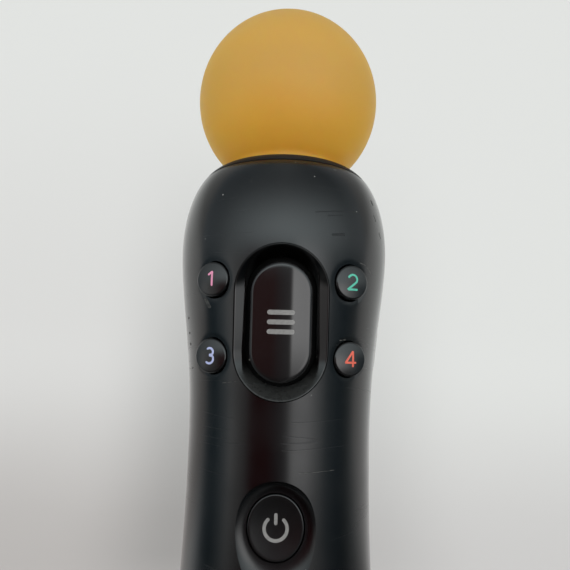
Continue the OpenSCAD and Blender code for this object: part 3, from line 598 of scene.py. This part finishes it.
# Half of the outline turned round the axis. The outer skin drops by bell curves at the seam, the top and the small
# buttons' holes. The inner skin lies one wall further in, and deeper behind the home button
def halfShell(name, face):  # face is -1 for the front half and 1 for the rear half
    b, quarter = body, pi / 2
    arc = radians(linspace(0, 90, 19))
    z = join([[0, 0, 0], b["baseRound"] * (1 - cos(arc)),
              linspace(b["baseRound"], b["fineZ"], 32)[1:], linspace(b["fineZ"], b["topZ"], 196)[1:]])
    r = bodyRadius(z)
    r[:3] = [0, b["baseR"] * 0.4, b["baseR"] * 0.8]  # across the flat base
    tangent = stack([np.gradient(r), np.gradient(z)], -1)
    tangent[:3] = [1, 0]
    tangent /= np.linalg.norm(tangent, axis=1, keepdims=True)
    normalR, normalZ = tangent[:, 1:], -tangent[:, :1]
    nearSeam = array([0, 0.007, 0.014, 0.024, 0.038, 0.058, 0.085])  # angles from the seam, finer towards it
    even = linspace(b["evenFrom"] - quarter, quarter - b["evenFrom"], 150)
    phi = join([nearSeam - quarter, even, quarter - nearSeam[::-1]])
    spread, front = sin(phi), face * cos(phi)
    skin = stack([r[:, None] * spread, r[:, None] * front + face * b["seam"], z[:, None] + 0 * phi], -1)
    normal = stack([normalR * spread, normalR * front, normalZ + 0 * phi], -1)
    fromSeam = r[:, None] * (quarter - np.abs(phi))
    drop = bell(fromSeam, *b["seamDrop"]) + bell(b["topZ"] - z[:, None], *b["topDrop"])
    thick = b["wall"] + 0 * drop
    if face < 0:
        for spot in capSpots.values():
            local = inSpot(skin, spot)
            awayCap = np.hypot(local[..., 0], local[..., 1]) - cap["w"] / 2 - cap["gap"]
            drop = drop + bell(np.maximum(awayCap, 0), *cap["rim"])
        thick = thick + bell(np.hypot(skin[..., 0], skin[..., 2] - home["z"]), *home["boss"])
    outer = skin - normal * drop[..., None]
    inner = skin - normal * thick[..., None]
    seams = [stack([outer[:, i], inner[:, i]]) for i in (0, -1)]
    rim = stack([outer[-1], inner[-1]])
    return meshPiece(name, outer, inner, *seams, rim, wrap=False)


def holeFor(name, spot, key, block=prism):  # a straight block as wide as a piece and its gap
    return block(name, spot, key["w"] + 2 * key["gap"], key["h"] + 2 * key["gap"], *key["cut"])


def sideCutters():
    return [holeFor("sideCut", sideSpot(side), sideKey) for side in sideSign.values()]


def bowlCutter():  # oval floor, then a wall that curves up as part of an ellipse, longer towards the base
    turn = radians(linspace(0, home["arc"], 13))
    farOut, farUp = home["past"]
    out = join([[0, 0], sin(turn) / sin(turn[-1]), [farOut, farOut]])[:, None]
    rise = join([[0, 0], 2 * (1 - cos(turn)), [farUp, farUp]])
    wide = join([[0], np.ones(15), [0]])[:, None]
    around = fullTurn(128)
    stretch = home["drop"] * np.maximum(-sin(around), 0) ** home["dropPower"]
    u = wide * (home["floor"][0] + home["wall"][0] * out) * cos(around)
    v = wide * (home["floor"][1] + home["wall"][1] * out) * sin(around) - wide * np.minimum(out, 1) * stretch
    w = home["depth"] * (rise - 1)[:, None] + 0 * around
    return meshPiece("bowlCut", place(stack([u, v, w], -1), homeSpot))


# Sockets in the base: width, depth and middle
sockets = {
    "usb": (7.9, 4.1, -5.4), "extension": (12.2, 4.4, 5.0), "cutZ": (-2.0, 5.0), "lensR": 1.3, "lensZ": 34.0,
    "lensCut": (-26.0, 12.0),
}


def socketCutter(name, w, d, y):  # a plain box up into the base
    low, high = sockets["cutZ"]
    return boxBlock(name, (-w / 2, y - d / 2, low), (w / 2, y + d / 2, high))


frontShell = halfShell("front_housing", -1)
near, length = sockets["lensCut"]
carve(frontShell, [
    holeFor("dishCut", dishSpot, dish), bowlCutter(), holeFor("homeCut", homeSpot, home, ovalRod),
    *[holeFor("capCut", spot, cap) for spot in capSpots.values()], *sideCutters(),
    socketCutter("usbCut", *sockets["usb"]),
    bore("lensCut", (0, near, sockets["lensZ"]), sockets["lensR"], length),
])
dress(frontShell, "handle", "satin_black", shellBlack, "front_shell")

rear = {
    "slotW": 14.0, "slotLow": 103.0, "slotHigh": 135.1, "slotRound": 1.5, "slotCut": (13.0, 30.0), "resetR": 1.0,
    "resetZ": 14.0, "resetCut": (8.0, 20.0), "strap": (6.4, 9.4, 6.4), "strapFar": 30.0, "screwHead": 2.1,
    "screws": [(14.7, 36.0), (17.1, 142.0)], "screwCut": (5.6, 24.0),
}
rearShell = halfShell("rear_housing", 1)
slotSpot = spotAt((0, 0, (rear["slotLow"] + rear["slotHigh"]) / 2), (1, 0, 0), (0, 0, 1), (0, 1, 0))


def slotCutter():  # rounded rectangle: four quarter rounds joined by straight sides
    half, tall, r = rear["slotW"] / 2, (rear["slotHigh"] - rear["slotLow"]) / 2, rear["slotRound"]
    turn = fullTurn(48)
    u, v = cos(turn), sin(turn)
    ring = stack([np.sign(u) * (half - r) + r * u, np.sign(v) * (tall - r) + r * v], -1)
    return straight("slotCut", ring, slotSpot, *rear["slotCut"])


rearCuts = [slotCutter(), *sideCutters(), socketCutter("extensionCut", *sockets["extension"])]
w, y, h = rear["strap"]
rearCuts.append(boxBlock("strapCut", (-w / 2, y, sockets["cutZ"][0]), (w / 2, rear["strapFar"], h)))
near, length = rear["resetCut"]
rearCuts.append(bore("resetCut", (0, near, rear["resetZ"]), rear["resetR"], length))
near, length = rear["screwCut"]
for x, z in rear["screws"]:
    rearCuts += [bore("screwCut", (s * x, near, z), rear["screwHead"], length) for s in (-1, 1)]
carve(rearShell, rearCuts)

well = {"r": 2.9, "bore": 2.12, "near": 5.4, "short": 1.0}
guide = {"wall": 0.8, "slack": 0.02, "back": -4.2, "front": -1.3}


def screwWell(x, z):  # a tube towards the back, whose far end follows the housing's wall
    turn = fullTurn(40)
    r, hole, rows = well["r"], well["bore"], []
    for reach, far in ((r, False), (r, True), (hole, True), (hole, False), (r, False)):
        across, climb = x + reach * cos(turn), z + reach * sin(turn)
        wall = sqrt((bodyRadius(climb) - well["short"]) ** 2 - across ** 2)
        rows.append(stack([across, wall if far else well["near"] + 0 * turn, climb], -1))
    return array(rows)


def buttonGuide(spot):  # a tube behind a small button's hole
    hole, turn = cap["w"] / 2 + cap["gap"], fullTurn(48)
    ring = stack([cos(turn), sin(turn)], -1)
    wide, tight = [ring * (hole + more) for more in (guide["wall"], guide["slack"])]
    return tube(wide, tight, guide["back"], guide["front"], spot)


wells = meshPiece("screw_wells", *[screwWell(s * x, z) for x, z in rear["screws"] for s in (-1, 1)], sharp=40.0)
dress(wells, "handle", "satin_black", trimBlack)
guides = meshPiece("button_guides", *[buttonGuide(spot) for spot in capSpots.values()], sharp=40.0)
dress(guides, "handle", "satin_black", trimBlack)
dress(rearShell, "handle", "satin_black", shellBlack, "rear_shell")
print("housing made:", len(frontShell.data.polygons), len(rearShell.data.polygons), "faces")


# Collar: rounded crown on a spigot, above a fine groove
collar = {
    "foot": 153.5, "grooveTop": 158.54, "lift": 0.2, "hole": 13.1, "spigot": 16.4, "angle": 61.5,
    "span": (0.04, 0.93), "lip": (1.5, 0.4), "inset": 0.25, "bevel": (0.05, 0.12), "lipFall": 0.2,
}


# Up the spigot and over the groove, along the shoulder's ellipse to near its top, then a quarter ellipse to the hole
def collarProfile():
    c = collar
    share = linspace(*c["span"], 16)
    turn = radians(c["angle"] + (90 - c["angle"]) * share)
    r = body["crownR"] + (body["headR"] - body["crownR"]) * cos(turn)
    z = body["headZ"] + body["shoulder"] * sin(turn) + c["lift"] * share
    soft = linspace(0, 1, 6)[1:] * pi / 2
    lipR = r[-1] - c["lip"][0] * sin(soft)
    lipZ = z[-1] - c["lip"][1] * (1 - cos(soft))
    foot = [[c["hole"], c["foot"]], [c["spigot"], c["foot"]], [c["spigot"], c["grooveTop"]],
            [r[0] - c["inset"], c["grooveTop"]], [r[0] - c["bevel"][0], z[0] - c["bevel"][1]]]
    crown = stack([join([r, lipR]), join([z, lipZ])], -1)
    return join([foot, crown, [[c["hole"], lipZ[-1] - c["lipFall"]], [c["hole"], c["foot"]]]])


collarRing = meshPiece("collar", turned(collarProfile()), sharp=40.0)
dress(collarRing, "handle", "satin_black", collarBlack, "collar_ring")


# Light ball: a round on a short neck that stands in the collar
globe = {"r": 21.0, "neck": 13.0, "foot": 153.4, "fillet": (0.25, 0.5)}
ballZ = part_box("light_sphere")[1].z / mm - globe["r"]


def ballProfile():  # straight up the neck, a small fillet, then round the ball to its top
    r, neck, foot = globe["r"], globe["neck"], globe["foot"]
    outward, down = globe["fillet"]
    low = np.arcsin(-sqrt(r ** 2 - (neck + outward) ** 2) / r)
    turn = linspace(low, pi / 2, 72)
    arc = stack([r * cos(turn), ballZ + r * sin(turn)], -1)
    arc[-1, 0] = 0.0
    return join([[[0, foot], [neck * 0.6, foot], [neck, foot], [neck, arc[0, 1] - down]], arc])


lightBall = meshPiece("light_ball", turned(ballProfile()), sharp=60.0)
dress(lightBall, "handle", "amber_frost", ballAmber, "light_sphere")
print("collar and ball made")


# Dish: a gloss ring that falls from the housing's surface to the foot of the large button
big = {"w": 11.8, "h": 22.8, "proud": 0.0, "crownX": 18.0, "crownZ": 500.0, "edge": 0.8, "skirt": 4.6, "gap": 0.15}


# How far out of a spot's plane the housing's surface lies at u, v: a few steps along out, each to the round's y
def surfaceOut(u, v, spot):
    w = np.zeros_like(u)
    for step in range(6):
        point = place(stack([u, v, w], -1), spot)
        target = -sqrt(bodyRadius(point[:, 2]) ** 2 - point[:, 0] ** 2) - body["seam"]
        w = w + (target - point[:, 1]) / spot["axes"][2, 1]
    return w


# Rings from the outside in: back edge, crisp rim, straight slope to the foot, wall down to the back edge
def dishRing():
    middle, away = oblongLoop(dish["w"], dish["h"], 40, 24)
    half, slope = dish["w"] / 2, dish["slopeW"]
    rim = middle + away * half
    level = surfaceOut(rim[:, 0], rim[:, 1], dishSpot)[:, None]
    foot = dish["foot"] + dish["tilt"] * middle[:, 1:]
    back = 0 * level + dish["back"]
    fall = linspace(0, 1, 17)
    start, down = dish["slopeFrom"]
    into = join([dish["rimIn"], start + (slope - start) * fall, slope + array(dish["footIn"])])
    high = join([back, level - dish["rimDown"], (level - down) * (1 - fall) + foot * fall,
                 foot - dish["footDown"], back], 1)
    flat = middle + away * (half - into)[:, None, None]
    rows = join([flat, high.T[:, :, None]], -1)
    return place(join([rows, rows[:1]]), dishSpot)


def moatRing():  # a flat strip with two levels, from under the dish's foot to the large button's side
    middle, away = oblongLoop(dish["w"], dish["h"], 40, 24)
    wide = middle + away * (dish["w"] / 2 - dish["slopeW"] - dish["tuck"])
    middle, away = oblongLoop(big["w"], big["h"], 40, 24)
    tight = middle + away * (big["w"] / 2 + big["gap"])
    high, low = dish["moat"]
    return tube(wide, tight, low, high, dishSpot)


bezel = meshPiece("dish_ring", dishRing(), sharp=50.0)
dress(bezel, "handle", "gloss_black", dishGloss, "dish_bezel")
moat = meshPiece("dish_moat", moatRing(), sharp=50.0)
dress(moat, "handle", "gloss_black", moatBlack)


# Buttons: rings step out from the middle line on the crown's surface, roll over a quarter round at the edge and drop
# straight to the skirt, then go out and down round a brim where there is one
def domeButton(name, spot, key, crown, rows=14, oval=False, flange=()):
    w, h, edge, skirt = [key[size] for size in ("w", "h", "edge", "skirt")]
    middle, away = oblongLoop(w, h)
    if oval:
        turn = fullTurn(96)
        middle, away = np.zeros((96, 2)), stack([cos(turn), sin(turn) * h / w], -1)
    flat = linspace(0, 1, rows)
    turn = linspace(0, pi / 2, 7)[1:]
    reach = join([(w / 2 - edge) * flat, w / 2 - edge + edge * sin(turn), [w / 2]])
    fall = join([0 * flat, edge * (1 - cos(turn)), [0]])
    sheet = []
    for step, down in zip(reach, fall):
        shelf = middle + away * min(step, w / 2 - edge)
        sheet.append(atLevel(middle + away * step, crown(shelf[:, 0], shelf[:, 1]) - down))
    sheet[-1][:, 2] = -skirt
    for step, down in flange:
        sheet.append(atLevel(middle + away * (w / 2 + step), -skirt - down))
    return meshPiece(name, place(array(sheet), spot), sharp=50.0)


def dome(top, radiusU, radiusV):  # falls from the top by the squares of u and v over twice the two radii
    return lambda u, v: top - u ** 2 / (2 * radiusU) - v ** 2 / (2 * radiusV)


capRound = (cap["w"] ** 2 / 4 + cap["dome"] ** 2) / (2 * cap["dome"])  # the radius that gives the dome its height
bigCrown = dome(big["proud"], big["crownX"], big["crownZ"])
capCrown = dome(cap["proud"] + cap["dome"], capRound, capRound)
homeCrown = dome(-home["sink"], -home["hollow"], -home["hollow"])


def sideCrown(u, v):  # the housing's own round, a little further out
    return sqrt((bodyRadius(sideKey["z"] + v) + sideKey["proud"]) ** 2 - u ** 2)


def sideSeat():  # how far out the brim's face lies, clear of the wall's inside at the brim's lower corners
    s = sideKey
    inside = float(bodyRadius(s["z"] - s["h"] / 2 - s["flange"])) - body["wall"]
    return sqrt(inside ** 2 - (s["w"] / 2 + s["flange"]) ** 2) - s["play"]


bigButton = domeButton("large_button", dishSpot, big, bigCrown)
dress(bigButton, "big_button", "gloss_black", buttonGloss, "big_button")
for name, spot in capSpots.items():
    button = domeButton(name + "_cap", spot, cap, capCrown)
    dress(button, name + "_button", "button_black", buttonBlack, name + "_button")
homeButton = domeButton("home_cap", homeSpot, home, homeCrown, oval=True)
dress(homeButton, "home_button", "button_black", homeBlack, "home_button")
sideKey["skirt"] = -sideSeat()
brim = ((sideKey["flange"], 0.0), (sideKey["flange"], sideKey["flangeThick"]))  # stops the button behind the wall
for name, side in sideSign.items():
    button = domeButton(name + "_side_cap", sideSpot(side), sideKey, sideCrown, rows=8, flange=brim)
    dress(button, name + "_side_button", "button_black", buttonBlack, name + "_side_button")
print("buttons made")


# Trigger: angles are in degrees. The curves' controls are shares of the brow's radius and of the length, and bulge is
# how far out, in mm, and how far down the finger's side bends first
pull = {
    "w": 13.4, "pivot": (14.3625, 131.0), "length": 25.0, "tipOut": 12.6, "thick": 2.8, "hub": 3.4, "edge": 1.1,
    "bore": 1.55, "boreLong": 20.0, "brow": (30.0, -10.0), "fingerFrom": -15.0, "bulge": (1.6, 0.3),
    "fingerLow": (0.9, 0.66), "innerLow": (0.55, 0.8), "innerHigh": (0.68, 0.35), "nose": (-15.0, -165.0),
    "hubTurn": (-105.0, -270.0),
}


def bezier(points, steps):  # a smooth curve from the first point to the last, drawn by the two between them
    t = linspace(0, 1, steps)[:, None]
    p = array(points, float)
    return (1 - t) ** 3 * p[0] + 3 * t * (1 - t) ** 2 * p[1] + 3 * t * t * (1 - t) * p[2] + t ** 3 * p[3]


# A side outline carried across the width: the brow's round, a curve down the finger's side, the nose's round, a curve
# up the inner side and the hub's round. Both ends are drawn in by a quarter round
def triggerSheet():
    t = pull
    browR = float(bodyRadius(t["pivot"][1])) - t["pivot"][0]
    size = array([browR, -t["length"]])
    first = radians(t["fingerFrom"])
    start = browR * array([cos(first), sin(first)])
    tipR = t["thick"] / 2
    tip = array([t["tipOut"] - tipR, -t["length"] + tipR])
    finger = bezier([start, start + [t["bulge"][0], -t["length"] * t["bulge"][1]], size * t["fingerLow"],
                     [t["tipOut"], tip[1]]], 24)
    inner = bezier([[t["tipOut"] - t["thick"], tip[1]], size * t["innerLow"], size * t["innerHigh"],
                    [0, -t["hub"]]], 20)
    loop = join([arcPath((0, 0), browR, *t["brow"], 9), finger, arcPath(tip, tipR, *t["nose"], 11), inner,
                 arcPath((0, 0), t["hub"], *t["hubTurn"], 14)])
    run = np.roll(loop, -1, 0) - np.roll(loop, 1, 0)
    run = run / np.linalg.norm(run, axis=1, keepdims=True)
    inward = stack([run[:, 1], -run[:, 0]], -1)
    turn = linspace(0, pi / 2, 6)
    ends = t["w"] / 2 - t["edge"] * (1 - sin(turn))
    pinch = t["edge"] * (1 - cos(turn))
    x = join([-ends[::-1], ends])
    draw = join([pinch[::-1], pinch])
    rows = loop + inward * draw[:, None, None]
    spread = np.broadcast_to(x[:, None, None], rows.shape[:2] + (1,))
    return join([spread, rows + array(t["pivot"])], -1)


triggerPiece = meshPiece("finger_trigger", triggerSheet(), sharp=40.0)
pinFrom = (-pull["boreLong"] / 2, *pull["pivot"])
carve(triggerPiece, [bore("pinCut", pinFrom, pull["bore"], pull["boreLong"], (1, 0, 0))], sharp=40.0)
dress(triggerPiece, "trigger", "satin_black", trimBlack, "trigger")
print("trigger made")


# Marks: thin printed strokes with round ends that lie on a button's dome
stroke = {"thick": 0.05, "proud": 0.02, "step": 0.08, "tip": 0.02, "numeral": 0.40, "bar": 0.9, "power": 0.62}


# A line with half its width to each side, drawn in to a half round at both ends, and lifted off the crown
def strokeSheet(path, width, spot, crown):
    path = array(path, float)
    steps = np.r_[0, np.cumsum(np.linalg.norm(np.diff(path, axis=0), axis=1))]
    half, long = width / 2, steps[-1]
    ends = half * (1 - cos(linspace(0, pi / 2, 6)))
    count = max(int((long - width) / stroke["step"]), 2)
    s = join([ends, linspace(half, long - half, count), long - ends[::-1]])
    line = stack([np.interp(s, steps, path[:, 0]), np.interp(s, steps, path[:, 1])], -1)
    run = np.gradient(line, axis=0)
    run = run / np.maximum(np.linalg.norm(run, axis=1, keepdims=True), 1e-9)
    left = stack([-run[:, 1], run[:, 0]], -1)
    toEnd = np.minimum(s, long - s)
    reach = sqrt(np.maximum(half ** 2 - np.maximum(half - toEnd, 0) ** 2, stroke["tip"] ** 2))[:, None]
    under, over, rows = -stroke["thick"], stroke["proud"], []
    for side, lift in ((1, under), (1, over), (0, over), (-1, over), (-1, under)):
        flat = line + left * reach * side
        rows.append(atLevel(flat, crown(flat[:, 0], flat[:, 1]) + lift))
    return place(stack(rows, 1), spot)


def figure(name, strokes, width, spot, crown, bodyName, slot, finish):
    sheets = [strokeSheet(path, width, spot, crown) for path in strokes]
    dress(meshPiece(name, *sheets, sharp=30.0), bodyName, slot, finish)


figures = {
    "upper_left": ([[(-0.75, 0.75), (0.1, 1.4), (0.1, -1.4)]], (0.80, 0.30, 0.47)),
    "upper_right": ([join([arcPath((0, 0.55), 0.9, 165, -35), [(-1.0, -1.4), (1.05, -1.4)]])],
                    (0.09, 0.52, 0.38)),
    "lower_left": ([join([arcPath((-0.1, 0.7), 0.75, 140, -80), arcPath((-0.1, -0.62), 0.85, 80, -145)])],
                   (0.45, 0.50, 0.78)),
    "lower_right": ([[(0.45, -1.5), (0.45, 1.5), (-1.1, -0.65), (1.15, -0.65)]], (0.78, 0.13, 0.08)),
}
for name, (strokes, colour) in figures.items():
    figure(name + "_figure", strokes, stroke["numeral"], capSpots[name], capCrown, name + "_button", "button_black",
           ink(name + "Ink", colour))
greyInk = ink("greyInk", (0.26, 0.255, 0.25))
bars = [[(-2.6, v), (2.6, v)] for v in (-1.8, 0.0, 1.8)]
figure("large_button_bars", bars, stroke["bar"], dishSpot, bigCrown, "big_button", "gloss_black", greyInk)
power = [arcPath((0, -0.2), 2.1, 125, 415, 40), [(0, 0.4), (0, 2.5)]]
figure("home_figure", power, stroke["power"], homeSpot, homeCrown, "home_button", "button_black", greyInk)
print("marks made")


# Stage: a pale sweep from the floor up into a backdrop, in metres. Pairs are where a change begins and ends. Its
# colour holds painted shade: darker low down, most on the left, and darker on the left than the right
sweep = {
    "near": -3.0, "bend": 0.30, "radius": 0.16, "top": 2.2, "half": 3.0, "paper": (0.72, 0.725, 0.72),
    "shadedLowLeft": (0.47, 0.445, 0.43), "shadedLowRight": (0.62, 0.61, 0.60), "lowX": (-0.14, 0.14),
    "midLeft": (0.735, 0.735, 0.72), "midRight": (0.79, 0.805, 0.785), "midX": (-0.22, 0.22),
    "high": (0.795, 0.81, 0.79), "midClimb": (0.08, 0.36), "highClimb": (0.36, 0.75), "glow": 0.8, "shadeLeft": 0.40,
    "shadeRight": 0.18, "shadeFrom": -0.20, "shadeMiddle": (-0.05, 0.05), "shadeIn": (-0.366, -0.148),
    "shadeOut": (0.122, 0.348), "shadePower": 1.7, "shadeClimb": (0.22, 0.66), "shadeY": (0.10, 0.22),
    "fade": (0.9, 2.6), "mirror": 0.25, "mirrorDim": 0.6, "mirrorZ": (0.33, 0.85), "openY": (0.05, 0.22),
}


def makeSweep():  # a flat floor, a quarter round and an upright wall, straight across
    s = sweep
    turn = linspace(0, pi / 2, 14)
    y = join([[s["near"], 0.0], s["bend"] + s["radius"] * sin(turn), [s["bend"] + s["radius"]]])
    z = join([[0, 0], s["radius"] * (1 - cos(turn)), [s["top"]]])
    x = array([-s["half"], 0.0, s["half"]])
    grid = stack([x[None] + 0 * y[:, None], y[:, None] + 0 * x, z[:, None] + 0 * x], -1)
    mesh = bpy.data.meshes.new("sweep")
    mesh.from_pydata(grid.reshape(-1, 3).tolist(), [], gridQuads(len(y), 3, False, 0).tolist())
    floor = bpy.data.objects.new("sweep", mesh)
    scene.collection.objects.link(floor)
    mesh.shade_smooth()
    made = Finish("sweepPaper", Roughness=0.9, Base_Color=tinted(s["paper"]))
    at = made.at
    x, y, z = at.split()
    climb = y * 0.5 + z + (at.noise(4.0) - 0.5) * 0.05
    # painted shade low down, deeper on the left than the right
    low = x.between(*s["lowX"]).mix(s["shadedLowLeft"], s["shadedLowRight"])
    mid = x.between(*s["midX"]).mix(s["midLeft"], s["midRight"])
    high = climb.between(*s["highClimb"]).mix(mid, s["high"])
    pale = climb.between(*s["midClimb"]).mix(low, high)
    aside = x / (y - s["shadeFrom"])  # soft shade behind the wand, wider with the distance
    shade = s["shadeLeft"] + aside.between(*s["shadeMiddle"]) * (s["shadeRight"] - s["shadeLeft"])
    close = aside.between(*s["shadeIn"]) * (1 - aside.between(*s["shadeOut"]))
    shade = shade * close ** s["shadePower"]
    shade = shade * (1 - climb.between(*s["shadeClimb"])) * y.between(*s["shadeY"])
    far = at.node("ShaderNodeVectorMath", {"operation": "LENGTH"}, 1, i0=at).between(*s["fade"])
    pale = far.mix(pale.scaled(1 - shade), room["pale"])  # its far edges fade into the room
    looked, mirrored, through = [at.node("ShaderNodeLightPath", out="Is " + kind + " Ray")
                                 for kind in ("Camera", "Glossy", "Transmission")]
    boost = s["mirror"] - z.between(*s["mirrorZ"]) * s["mirrorDim"]  # mirrors see it dimmer upwards
    shining = at.node("ShaderNodeEmission", Color=pale, Strength=1.0 + mirrored * boost)
    shown = s["glow"] + far * (1 - s["glow"])
    seen = (looked * shown + mirrored + through).least(1.0)
    paper = Wire(made.tree, made.shader.outputs[0])
    both = at.node("ShaderNodeMixShader", i0=seen, i1=paper, i2=shining)
    near = mirrored * (1 - y.between(*s["openY"]))  # mirrors look through the floor in front, into the room
    both = at.node("ShaderNodeMixShader", i0=near, i1=both, i2=at.node("ShaderNodeBsdfTransparent"))
    made.tree.links.new(both.socket, made.tree.nodes["Material Output"].inputs["Surface"])
    mesh.materials.append(made.material)


# Light: an even room with a soft panel above the camera. Gloss mirrors the room's walls: a glow ahead that fades
# upwards, a dark space below it, a bright window low on the right and a narrow one on the left. Turn is in degrees
# from straight ahead to the right, climb in degrees from level upwards
panel = {"aim": (0, 0, 0.125), "turn": 2.0, "climb": 32.0, "away": 0.7, "w": 0.9, "h": 0.5, "glow": 0.9}
room = {
    "high": (0.80, 0.81, 0.80), "low": (1.35, 1.36, 1.34), "fillClimb": (-30.0, 30.0), "pale": (0.75, 0.76, 0.75),
    "glowAt": (6.0, 14.0), "glowWide": 105.0, "glowTall": 23.0, "glow": (1.76, 1.97, 2.01), "bright": 4.0,
    "sideTurn": (70.0, 105.0), "sideClimb": (8.0, 48.0), "sideDim": 0.3, "horizon": (-2.0, 12.0),
    "windowIn": (8.0, 14.0), "windowOut": (44.0, 60.0), "windowClimb": (-20.0, -8.0), "windowDim": 0.62,
    "floorTurn": (-110.0, -80.0), "floorClimb": (-25.0, -9.0), "floorDim": 0.85,
    "upper": [
        (-150, (0.70, 0.70, 0.69)), (-118, (0.78, 0.83, 0.83)), (-96, (0.42, 0.49, 0.54)), (-70, (0.31, 0.36, 0.39)),
        (0, (0.50, 0.55, 0.57)), (75, (0.23, 0.27, 0.29)), (97, (0.47, 0.52, 0.55)), (118, (0.86, 0.88, 0.88)),
        (150, (0.70, 0.70, 0.69)),
    ],
    "lower": [
        (-150, (0.60, 0.60, 0.58)), (-122, (0.90, 0.92, 0.92)), (-109, (0.60, 0.64, 0.66)), (-98, (0.18, 0.23, 0.26)),
        (-84, (0.09, 0.16, 0.20)), (-70, (0.50, 0.60, 0.65)), (-60, (1.25, 1.28, 1.28)), (-50, (0.75, 0.73, 0.72)),
        (-42, (0.54, 0.52, 0.52)), (-33, (0.16, 0.01, 0.01)), (-12, (0.16, 0.01, 0.01)), (-4, (0.16, 0.09, 0.10)),
        (4, (0.22, 0.19, 0.20)), (9, (0.28, 0.26, 0.27)), (12, (0.60, 0.59, 0.59)), (15, (3.3, 3.3, 3.3)),
        (32, (3.05, 3.05, 3.07)), (45, (1.50, 1.55, 1.57)), (58, (0.34, 0.42, 0.46)), (76, (0.11, 0.17, 0.21)),
        (89, (0.19, 0.23, 0.24)), (100, (0.50, 0.54, 0.55)), (114, (0.85, 0.87, 0.87)), (150, (0.60, 0.59, 0.57)),
    ],
}


def makePanel():
    lamp = bpy.data.lights.new("softPanel", "AREA")
    lamp.shape, lamp.size, lamp.size_y = "RECTANGLE", panel["w"], panel["h"]
    lamp.energy = panel["glow"] * pi * panel["w"] * panel["h"]
    thing = bpy.data.objects.new("softPanel", lamp)
    back = Matrix.Translation((0, 0, panel["away"]))
    thing.matrix_world = aimed(panel["aim"], panel["turn"], -panel["climb"]) @ back
    thing.visible_camera = thing.visible_glossy = False
    scene.collection.objects.link(thing)


def walls(turn, stops):  # colours by the way round, dimmed to fit the ramp
    marks = [((az + 180) / 360, tinted(colour, 1 / room["bright"])) for az, colour in stops]
    return turn.node("ShaderNodeValToRGB", {"stops": marks}, Fac=turn / 360 + 0.5)


def makeRoom():
    r = room
    world = bpy.data.worlds.new("room")
    scene.world = world
    world.use_nodes = True
    world.cycles.sampling_method = "NONE"
    tree = world.node_tree
    start = Wire(tree, None)
    x, y, z = start.node("ShaderNodeTexCoord", out=0).split()
    turn = x.maths("ARCTAN2", x, 0 - y) * (180 / pi)
    climb = z.maths("ARCSINE", z) * (180 / pi)
    aside = turn.maths("ABSOLUTE", turn - r["glowAt"][0])
    height = (climb - r["glowAt"][1]) / r["glowTall"]
    fade = height.maths("EXPONENT", 0 - height * height)
    lit = (1 - aside.between(0.0, r["glowWide"])) * fade
    sides = aside.between(*r["sideTurn"]) * climb.between(*r["sideClimb"])  # the walls darken upwards
    upper = walls(turn, r["upper"]).scaled(1 - sides * r["sideDim"])
    upper = lit.mix(upper, tinted(r["glow"], 1 / r["bright"]), "ADD")
    window = turn.between(*r["windowIn"]) * (1 - turn.between(*r["windowOut"]))
    dim = 1 - turn.between(*r["floorTurn"]) * r["floorDim"] * (1 - climb.between(*r["floorClimb"]))
    dim = dim * (1 - window * r["windowDim"] * (1 - climb.between(*r["windowClimb"])))
    lower = walls(turn, r["lower"]).scaled(dim)
    mirrored = climb.between(*r["horizon"]).mix(lower, upper).scaled(r["bright"])
    glossy, looked = [start.node("ShaderNodeLightPath", out="Is " + kind + " Ray") for kind in ("Glossy", "Camera")]
    fill = climb.between(*r["fillClimb"]).mix(r["low"], r["high"])
    colour = looked.mix(glossy.mix(fill, mirrored), r["pale"])
    tree.links.new(colour.socket, tree.nodes["Background"].inputs["Color"])
    tree.nodes["Background"].inputs["Strength"].default_value = 1.0


makePanel()
makeRoom()
makeSweep()
print("stage and light made")
